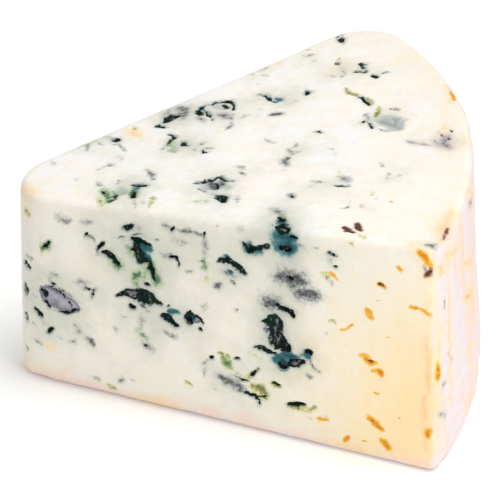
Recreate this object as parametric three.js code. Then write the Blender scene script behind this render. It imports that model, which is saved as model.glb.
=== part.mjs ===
// A wedge of blue cheese: one sector cut from a wheel that was first halved across its height.
// Millimetres, +Z up. The flat base rests on the ground, the front cut faces -Y, the blunt tip
// points to -X and the rind is the curved end at +X. The origin is under the middle of the box.

import * as THREE from "three";

// Sizes of the wheel and of the cut piece.
const WHEEL_RADIUS = 100;
const WEDGE_ANGLE = THREE.MathUtils.degToRad(60);
const FRONT_CORNER_HEIGHT = 50;

// The top is a wire cut that ran a little off level: it rises towards the rind and to the back.
const TOP_RISE_ALONG_FRONT = 8.4;
const TOP_RISE_TO_BACK = 6.8;

// The rind stands further out at the base than at the top.
const RIND_FLARE = 1.7;

// Upright corners, and the edge that runs round the top and the base.
const TIP_ROUND = 9.8;
const FRONT_CORNER_ROUND = 2.2;
const BACK_CORNER_ROUND = 10.6;
const EDGE_ROUND = 2;
const EDGE_SHARE_OF_CORNER = 0.95;

const ARC_STEPS = 22;
const EDGE_STEPS = 4;

const PASTE_COLOUR = 0xf6f0df;
const PASTE_ROUGHNESS = 0.6;

// Centre of a corner rounding that touches the rind's circle and one straight cut.
function rindCornerCentre(round, cutAngle, inward) {
  const reach = WHEEL_RADIUS - round;
  const turn = Math.asin(round / reach) * inward;
  return new THREE.Vector2(reach, 0).rotateAround(new THREE.Vector2(), cutAngle + turn);
}

// Outline seen from above, with the wheel's centre at 0, 0 and the front cut along +X.
function wedgeOutline() {
  const quarter = Math.PI / 2;
  const tipReach = TIP_ROUND / Math.sin(WEDGE_ANGLE / 2);
  const tip = new THREE.Vector2(tipReach, 0).rotateAround(new THREE.Vector2(), WEDGE_ANGLE / 2);
  const front = rindCornerCentre(FRONT_CORNER_ROUND, 0, 1);
  const back = rindCornerCentre(BACK_CORNER_ROUND, WEDGE_ANGLE, -1);
  const shape = new THREE.Shape();
  shape.absarc(tip.x, tip.y, TIP_ROUND, WEDGE_ANGLE + quarter, 3 * quarter, false);
  shape.absarc(front.x, front.y, FRONT_CORNER_ROUND, -quarter, front.angle(), false);
  shape.absarc(0, 0, WHEEL_RADIUS, front.angle(), back.angle(), false);
  shape.absarc(back.x, back.y, BACK_CORNER_ROUND, back.angle(), WEDGE_ANGLE + quarter, false);
  return shape;
}

// Height of the top cut over a point of the outline.
function topHeight(x, y) {
  const along = (x / WHEEL_RADIUS - 1) * TOP_RISE_ALONG_FRONT;
  const across = (y / WHEEL_RADIUS) * TOP_RISE_TO_BACK;
  return FRONT_CORNER_HEIGHT + along + across;
}

// An even slab with rounded edges, then sloped at its top and flared at its rind.
// The edge rounding stays a little smaller than the sharpest upright corner that it runs round.
function wedgeGeometry() {
  const edge = Math.min(EDGE_ROUND, EDGE_SHARE_OF_CORNER * FRONT_CORNER_ROUND);
  const slab = new THREE.ExtrudeGeometry(wedgeOutline(), {
    depth: FRONT_CORNER_HEIGHT - 2 * edge,
    curveSegments: ARC_STEPS,
    bevelThickness: edge,
    bevelSize: edge,
    bevelOffset: -edge,
    bevelSegments: EDGE_STEPS,
  });
  slab.translate(0, 0, edge);
  const points = slab.getAttribute("position");
  const point = new THREE.Vector3();
  for (let i = 0; i < points.count; i += 1) {
    point.fromBufferAttribute(points, i);
    const share = point.z / FRONT_CORNER_HEIGHT;
    // Widening about the wheel's centre keeps both cut faces on their own upright planes.
    const widening = 1 + (RIND_FLARE / WHEEL_RADIUS) * (1 - share);
    const height = share * topHeight(point.x, point.y);
    points.setXYZ(i, point.x * widening, point.y * widening, height);
  }
  slab.computeVertexNormals();
  slab.computeBoundingBox();
  return slab;
}

const paste = new THREE.MeshStandardMaterial({
  color: PASTE_COLOUR,
  roughness: PASTE_ROUGHNESS,
  metalness: 0,
});

const wedge = new THREE.Mesh(wedgeGeometry(), paste);
wedge.name = "cheese_wedge";
const middle = wedge.geometry.boundingBox.getCenter(new THREE.Vector3());
wedge.position.set(-middle.x, -middle.y, 0);

const cheese = new THREE.Group();
cheese.add(wedge);

export default cheese;
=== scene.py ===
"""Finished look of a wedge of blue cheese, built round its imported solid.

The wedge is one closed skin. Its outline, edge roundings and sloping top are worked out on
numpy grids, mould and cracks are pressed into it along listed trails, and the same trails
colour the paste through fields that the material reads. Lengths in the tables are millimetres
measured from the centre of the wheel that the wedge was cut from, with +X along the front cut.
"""

import logging
import math
from dataclasses import dataclass, field
from enum import Enum

import bpy
import numpy as np
from mathutils import Matrix, Vector


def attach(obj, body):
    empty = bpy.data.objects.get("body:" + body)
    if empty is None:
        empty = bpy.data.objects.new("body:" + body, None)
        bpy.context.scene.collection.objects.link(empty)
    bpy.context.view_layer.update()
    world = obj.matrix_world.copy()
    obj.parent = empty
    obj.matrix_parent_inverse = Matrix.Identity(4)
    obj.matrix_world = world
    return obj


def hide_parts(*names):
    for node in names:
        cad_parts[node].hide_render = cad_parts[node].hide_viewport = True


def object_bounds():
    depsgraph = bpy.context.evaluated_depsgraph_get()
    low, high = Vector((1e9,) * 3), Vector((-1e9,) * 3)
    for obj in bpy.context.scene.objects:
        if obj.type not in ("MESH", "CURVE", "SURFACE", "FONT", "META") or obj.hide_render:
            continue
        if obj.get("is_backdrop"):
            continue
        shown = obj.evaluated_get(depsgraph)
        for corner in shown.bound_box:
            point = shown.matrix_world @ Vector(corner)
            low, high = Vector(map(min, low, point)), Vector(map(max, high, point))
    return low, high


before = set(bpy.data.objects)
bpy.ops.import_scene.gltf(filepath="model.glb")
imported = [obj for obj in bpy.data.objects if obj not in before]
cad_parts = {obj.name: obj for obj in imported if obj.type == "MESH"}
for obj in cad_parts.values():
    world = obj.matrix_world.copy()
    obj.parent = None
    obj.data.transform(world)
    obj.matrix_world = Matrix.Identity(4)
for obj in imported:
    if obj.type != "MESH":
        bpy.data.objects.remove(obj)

log = logging.getLogger("cheese")

MM = 0.001
TINY = 1e-9
CAD_NODE = "cheese_wedge"
Trail = tuple[float, ...]


class Face(Enum):
    """A face of the wedge that trails can be laid on."""

    FRONT = "front cut: distance along it, height"
    BACK = "back cut: distance along it, height"
    TOP = "top cut: x, y"
    RIND = "rind: distance round it from the front cut, height"


class Mould(Enum):
    """A kind of mark in the paste; each has a field of its own on the skin."""

    CREVICE = "crevice"
    TEAL = "teal"
    GREEN = "green"
    OLIVE = "olive"
    SLATE = "slate"
    ASH = "ash"
    MAUVE = "mauve"
    SMUDGE = "smudge"
    AMBER = "amber"
    RUST = "rust"
    STAIN = "stain"


# About how deep each kind of mark is sunk in the middle of a strong trail, in millimetres.
POCKET_DEPTH = {
    Mould.CREVICE: 1.0,
    Mould.TEAL: 0.5,
    Mould.GREEN: 0.25,
    Mould.OLIVE: 0.25,
    Mould.SLATE: 0.7,
    Mould.ASH: 0.6,
    Mould.MAUVE: 0.2,
    Mould.SMUDGE: 0.12,
    Mould.AMBER: 0.08,
    Mould.RUST: 0.35,
    Mould.STAIN: 0.0,
}

# A trail is its half width, its strength, and then the two coordinates of each of its points.
FRONT_TRAILS: dict[Mould, tuple[Trail, ...]] = {
    Mould.CREVICE: (
        (0.6, 1, 28.9, 35.8, 28.4, 34.6), (0.8, 1, 29.8, 33.6, 31, 32.8), (0.6, 0.9, 31, 32.8, 32.2, 31.4),
        (0.4, 1, 28.9, 33.4, 29.3, 33.4), (0.5, 1, 25.0, 36.5, 25.2, 36.5),
        (0.8, 0.9, 33.6, 39.9, 35.2, 40.4), (0.4, 0.7, 31.8, 37.3, 34.5, 38.2, 37.8, 39.3, 41, 38.6),
        (0.8, 1, 35.2, 37.6, 39, 37.2), (1.2, 1, 36.2, 36, 36.6, 33.4), (0.8, 1, 36.6, 33.4, 38.8, 33),
        (0.6, 1, 38.6, 33.2, 39.8, 31, 40, 29.8), (0.4, 1, 38, 28.8, 39, 28.5),
        (0.6, 0.9, 16.7, 33.1, 15.7, 31.4), (0.7, 1, 9.9, 25.7, 11.7, 25.6), (0.9, 1, 9.6, 21, 10, 19.6),
        (0.7, 1, 9.9, 14, 9.9, 12.9), (0.6, 0.7, 9.9, 7.2, 9.9, 6.2),
        (0.32, 0.9, 16.8, 23.4, 19.5, 22.3, 22, 20.8), (0.6, 1, 15.3, 22, 16.2, 21.2),
        (0.5, 1, 15.8, 19.8, 16.9, 18.8), (0.32, 0.9, 17, 18.6, 20.5, 18.3, 22.3, 18.8, 23.8, 20),
        (0.28, 0.8, 20.2, 22.2, 21.2, 21, 22.2, 19.3), (0.45, 0.8, 17.8, 24.1, 18.4, 23.8),
        (0.5, 0.9, 25, 24.7, 26.8, 24.8, 26.9, 23), (0.65, 1, 13.5, 16.9, 15.3, 15.6),
        (0.7, 1, 16.4, 12.9, 18, 13.7), (0.8, 1, 31.8, 24.7, 34, 25.8, 36, 24.6),
        (1.4, 1, 34.5, 25.9, 37.5, 26.3, 40.8, 25.2), (1.0, 1, 36.5, 24.6, 38, 24.5, 40, 25.3),
        (0.6, 0.9, 34.8, 22.8, 36, 22.3), (0.35, 1, 36.3, 17.3, 36.5, 17.3),
        (0.45, 0.8, 37.8, 14.4, 38.3, 14.4), (0.8, 1, 41.3, 21.9, 43.2, 22, 45, 21),
        (0.4, 0.8, 42.8, 24.4, 43.2, 24.6), (0.5, 1, 46.2, 22.9, 47.5, 24, 49.5, 23.4, 50.8, 22.2),
        (0.7, 1, 46.4, 22.6, 48, 21.9), (0.4, 0.8, 50.3, 21, 50.5, 20.2), (0.6, 1, 43.8, 41, 44.5, 42),
        (0.45, 1, 50.8, 42, 50.6, 41.6), (0.4, 1, 49.7, 36.2, 49.9, 36.2),
        (0.4, 1, 43.5, 35.5, 45.2, 35.6, 45.1, 34),
        (0.9, 1, 53.8, 36.9, 55.5, 37.2, 57, 37.2, 58.8, 36, 59.4, 35.2), (0.5, 0.9, 57, 33.2, 57.4, 33),
        (1.0, 1, 59.3, 42, 60.8, 41.3, 62.5, 41.5), (0.6, 1, 62.5, 42, 64.8, 42.6),
        (0.9, 0.9, 66, 47.4, 68.3, 47.6), (0.75, 0.9, 66.8, 42.6, 69, 42.3), (0.7, 0.9, 69, 45.6, 70.2, 46),
        (0.8, 0.65, 68.3, 36.4, 70.6, 36.8), (0.7, 0.9, 66.5, 30, 69.5, 29, 70, 27.8),
        (1.3, 1, 64, 26.2, 66, 26.8, 67.3, 25), (2.0, 1, 65.2, 25, 66.5, 22.5, 67.8, 21.5),
        (1.2, 1, 67.5, 23, 69, 21), (0.7, 1, 61.8, 19.2, 64, 19.6, 66, 19.1),
        (0.6, 1, 67, 16.9, 68.5, 16.8), (1.0, 1, 69.5, 17.6, 71.5, 18.5), (0.8, 1, 72.4, 20.8, 73.8, 20.8),
        (0.5, 1, 73, 19, 74.5, 18, 75.8, 17.5), (0.4, 1, 58.1, 15.8, 58.3, 15.8),
        (0.5, 1, 61.3, 13.4, 62.3, 15), (0.45, 1, 57.6, 11.9, 59, 11.4, 60.8, 11.9),
        (0.6, 0.9, 60, 8.4, 62, 8, 63.2, 7), (0.4, 0.9, 63.2, 8.4, 65, 9), (0.4, 1, 62.8, 6.8, 63.2, 6.8),
        (0.55, 1, 65.6, 12.6, 67.2, 12.3), (0.7, 1, 69.3, 7.9, 72.2, 9.2), (0.4, 1, 52.3, 15, 52.8, 15),
        (0.5, 1, 76.8, 43.8, 78.5, 43.5), (0.4, 1, 78.6, 41, 79.1, 41), (0.35, 0.8, 99.8, 20.4, 100, 18),
        (0.35, 0.7, 100, 14.4, 100, 12),
    ),
    Mould.TEAL: (
        (1.0, 1, 36.2, 36.6, 38.8, 36.2), (1.0, 0.9, 37.4, 35, 38.8, 33.4),
        (0.35, 0.8, 33.8, 36.8, 34.2, 36.4), (0.7, 0.9, 43, 23.2, 45, 23.5),
        (0.8, 0.9, 47.3, 23, 48.2, 22.8), (0.7, 0.9, 55.6, 38.2, 56.9, 38),
        (0.6, 0.7, 56.1, 35.3, 57, 35.1), (1.1, 0.7, 59.6, 41.3, 62.8, 41),
        (1.9, 1, 66.8, 45.6, 68.5, 45.4), (1.9, 1, 67.2, 43.3, 69, 42.8), (1.3, 1, 66.8, 18, 68.5, 17.2),
        (1.1, 1, 68, 19.4, 70.6, 19.4), (0.9, 0.8, 72, 20.2, 73.4, 19.6), (0.8, 0.6, 60.4, 42.6, 61, 42.4),
    ),
    Mould.GREEN: (
        (1.0, 1, 16.7, 33.1, 15.7, 31), (1.2, 1, 31, 32.4, 32.5, 30.9), (1.2, 0.7, 34.8, 35.4, 36, 34.2),
        (0.9, 1, 36.6, 31.2, 35.9, 29.2, 36.4, 28), (1.3, 1, 39.2, 32.8, 40.7, 30.8, 40.6, 29.2),
        (0.9, 0.8, 37.1, 17, 38.7, 15.9), (0.8, 0.9, 50.6, 36.8, 50.9, 34.2),
        (0.7, 0.6, 14.2, 16.4, 15, 15.9), (0.8, 0.6, 16.9, 13.6, 18.3, 13.9),
        (0.9, 0.8, 55.4, 14.6, 57, 14.2), (1.6, 0.5, 37.8, 32, 37.8, 29.6),
    ),
    Mould.OLIVE: (
        (1.0, 0.85, 10.3, 38.4, 11.9, 37.9), (0.5, 0.5, 18, 32.8, 18.5, 32.7),
        (0.8, 0.5, 51, 32.9, 51.1, 31.8), (0.6, 1, 54.3, 16.6, 55.2, 16.4),
        (0.9, 1, 55.4, 15.4, 56.6, 13.9), (0.7, 0.8, 56, 16.6, 57.3, 14.8),
        (0.55, 1, 58, 13, 59.5, 12.3, 61.3, 13.2, 62.3, 14.9), (1.0, 0.4, 61.2, 17.6, 63.2, 17.3),
        (1.1, 1, 61, 10.6, 63.5, 10.8, 64.8, 9.2), (1.1, 0.9, 62, 8.6, 64.2, 8.2),
        (0.9, 0.9, 65.7, 12.5, 67.1, 12.4), (0.9, 0.8, 69.2, 7.5, 73, 8.1, 75.2, 8.8),
        (0.4, 0.7, 76, 7.9, 78, 7.8), (0.7, 0.9, 46.6, 8.1, 48, 7.9), (0.7, 0.9, 29.6, 2.9, 30.3, 2.7),
        (0.9, 0.7, 76.5, 38.9, 77, 38.3), (0.5, 0.8, 78.7, 41.1, 79.1, 40.9),
        (0.5, 0.8, 81.9, 47.2, 82.2, 47.3), (0.8, 0.8, 77.9, 28.9, 78.7, 28.8),
        (0.4, 0.8, 86.3, 29.2, 86.6, 29.2), (0.4, 0.6, 93, 11, 93.3, 10.8),
        (0.5, 0.4, 80.8, 24.5, 81.4, 24.3), (0.5, 0.6, 73, 6, 74.6, 5.8),
    ),
    Mould.SLATE: (
        (1.9, 1, 16.6, 21.6, 17.6, 20.6), (1.7, 1, 18.4, 20.8, 21, 20.2, 22.4, 19.9),
        (0.7, 0.8, 39.1, 26, 39.7, 25.6), (0.6, 1, 48.9, 22.8, 49.4, 22.6),
        (0.5, 0.8, 60.3, 42.4, 60.8, 42.3), (0.6, 0.7, 68.6, 44.3, 69.2, 44.2),
        (0.8, 0.6, 63.6, 24.2, 64.2, 23.2),
    ),
    Mould.SMUDGE: (
        (0.9, 0.9, 18.8, 38.8, 21.8, 39.2), (0.8, 0.75, 24.5, 39.3, 26.8, 40),
        (0.4, 0.9, 25.8, 36.3, 27.3, 35.8), (0.5, 0.8, 28.3, 34.5, 27.8, 32.8),
        (0.6, 0.7, 10.3, 28.2, 12.8, 28), (0.4, 0.8, 12.6, 20.5, 13.7, 20.2),
        (0.4, 0.6, 12.2, 13.8, 13.7, 13.5), (0.6, 0.7, 17, 24.6, 18.4, 23.6, 21, 22.6, 23.8, 21.2),
        (0.7, 0.8, 17, 25.4, 19, 26), (0.9, 0.7, 23, 25.6, 25.5, 25.8), (0.6, 0.6, 15.3, 14.9, 15.8, 14.6),
        (0.6, 0.6, 18.9, 12.4, 20, 12.1), (0.5, 0.7, 21.5, 11.7, 23, 12.3),
        (0.8, 0.8, 22.6, 16, 24.2, 14.3), (0.8, 0.9, 25.2, 13.2, 26.6, 12.1),
        (0.6, 0.5, 25.6, 16.4, 26.2, 16.2), (0.7, 0.7, 13.2, 10, 14.7, 9.2), (0.9, 0.7, 31.8, 5.2, 32.8, 5),
        (0.4, 0.6, 34.6, 5.5, 35, 5.4), (0.7, 0.6, 26.4, 3.9, 27.4, 3.7),
        (0.6, 0.5, 31.5, 16.8, 32.2, 16.5), (0.6, 0.7, 97.2, 45.2, 98, 43),
        (0.5, 0.7, 98.6, 36, 99.8, 34.6), (0.35, 0.9, 29.1, 22.5, 29.4, 22.5),
        (0.35, 0.5, 32.8, 20.1, 34, 20.3), (0.6, 0.8, 37.3, 23.5, 38.7, 22.3),
        (1.1, 0.45, 37.5, 21, 37.4, 18), (1.1, 0.5, 38, 14.5, 40, 14), (0.8, 0.7, 42.8, 18.8, 44.5, 18),
        (1.0, 0.7, 42, 42, 44.5, 42), (0.7, 0.8, 45.5, 41.8, 48, 42.3, 50, 41.6),
        (0.9, 0.75, 50.6, 41.2, 51, 40, 51, 38), (0.35, 0.8, 46.3, 39, 46.8, 39),
        (1.0, 0.7, 42.3, 36, 44.6, 35.9), (0.35, 0.9, 41.6, 36.3, 42, 36.2),
        (0.45, 0.9, 47.3, 33.7, 47.8, 33.6), (1.2, 0.5, 55, 35.1, 58, 34.4),
        (0.8, 0.9, 53.3, 31, 54.5, 32.2), (0.5, 0.8, 57.2, 27.3, 57.6, 27.3),
        (0.4, 0.7, 53, 44.7, 53.4, 44.7), (0.8, 0.5, 58.6, 45.4, 59.4, 45.2),
        (0.7, 0.8, 70.5, 44, 72.8, 43.8), (0.35, 0.7, 74.1, 44.7, 74.5, 44.7),
        (2.4, 1, 67.8, 36.3, 71.2, 36.8), (1.8, 1, 71, 34, 74.5, 34), (1.9, 1, 64.2, 30.2, 66.5, 30.4),
        (1.4, 0.7, 67, 29.6, 69.6, 29), (0.6, 0.8, 72.8, 16.2, 74, 15.5),
        (1.2, 0.95, 54.3, 11.5, 56, 10.5, 58, 9.8, 60, 8.5), (0.5, 0.8, 50.5, 13.6, 51.6, 14.4),
        (0.5, 0.6, 73, 8.7, 75.5, 8.8), (0.9, 0.6, 77.3, 42.6, 77.7, 41.8),
        (0.6, 0.5, 77.6, 37.6, 78, 36.6), (0.35, 0.6, 53.1, 8.1, 53.4, 8.1),
        (0.4, 0.5, 77.1, 25.8, 77.5, 25.8), (0.8, 0.5, 62.5, 31.8, 63, 30.4),
        (0.6, 0.4, 51, 26.8, 50.8, 25.4), (0.45, 0.7, 60.4, 18.3, 60.8, 18.3),
        (1.3, 0.4, 35.6, 40.6, 36.8, 40.2), (1.1, 0.4, 44.6, 39.6, 47.2, 39.8),
        (0.9, 0.35, 51, 12.4, 51, 10.8),
    ),
    Mould.AMBER: (
        (0.8, 0.8, 77.5, 39.3, 78.7, 38.4), (0.6, 0.8, 91.5, 44.4, 92.8, 44),
        (0.65, 1, 87.5, 39.8, 88.9, 39.1), (0.45, 0.8, 87.3, 35.6, 88.7, 36),
        (0.8, 0.9, 85.4, 33.2, 86.6, 32.1), (0.5, 0.9, 80.5, 28.1, 82.6, 29.1),
        (0.35, 0.7, 88.6, 28.5, 88.9, 28.5), (0.35, 0.7, 89.9, 28.2, 90.2, 28.2),
        (1.0, 1, 84.8, 23.2, 86.8, 22.2), (0.6, 1, 87, 20.2, 88.6, 19.9),
        (0.45, 0.9, 87.8, 15.3, 88.8, 15.3), (0.4, 0.5, 77.8, 13.5, 79.2, 13.4),
        (0.8, 1, 85.7, 9.6, 87.8, 8.6, 89.4, 7.5), (1.05, 1, 89, 4.5, 90.7, 3.6),
        (0.7, 1, 81.1, 2.8, 82, 3.8), (0.45, 0.8, 85.1, 3.6, 86, 3.7), (0.6, 0.9, 94.3, 36, 96.5, 36.5),
        (0.8, 0.7, 97, 36.2, 99.5, 35.1), (0.6, 0.9, 75.3, 6.4, 77.5, 6.9),
        (0.9, 1, 95.9, 48.2, 97.4, 47.3, 98.6, 45.4), (0.9, 0.9, 98.8, 9.8, 99.3, 7.8),
    ),
    Mould.RUST: (
        (0.5, 0.95, 87.6, 39.8, 88.8, 39.1), (0.7, 0.7, 98.2, 46, 98.9, 44.8, 98.9, 43.8),
        (1.0, 1, 97.9, 43.4, 98.8, 44), (0.4, 0.7, 85.6, 22.8, 86.8, 22.3), (0.35, 0.6, 86.6, 9, 87.8, 8.5),
        (0.35, 0.5, 89.6, 4.2, 90.4, 3.8), (0.45, 0.5, 97.8, 36, 99, 35.2),
    ),
    Mould.STAIN: (
        (1.8, 0.8, 95.6, 48.4, 98, 47, 99, 42), (1.3, 0.9, 98.4, 30, 98.6, 18),
        (1.5, 0.9, 97.9, 17, 98.6, 5), (1.0, 0.6, 62, 9.9, 62.8, 9.8), (1.5, 0.5, 16.4, 9.4, 17.6, 9.2),
        (1.6, 0.6, 79.5, 1.6, 86, 1.4), (1.6, 0.6, 89.5, 5.2, 93.5, 3), (1.9, 0.6, 34, 1.2, 45, 1.4),
        (1.4, 0.6, 87.4, 21.6, 88.4, 20), (1.2, 0.6, 98.8, 39, 98.8, 34),
    ),
}

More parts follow.
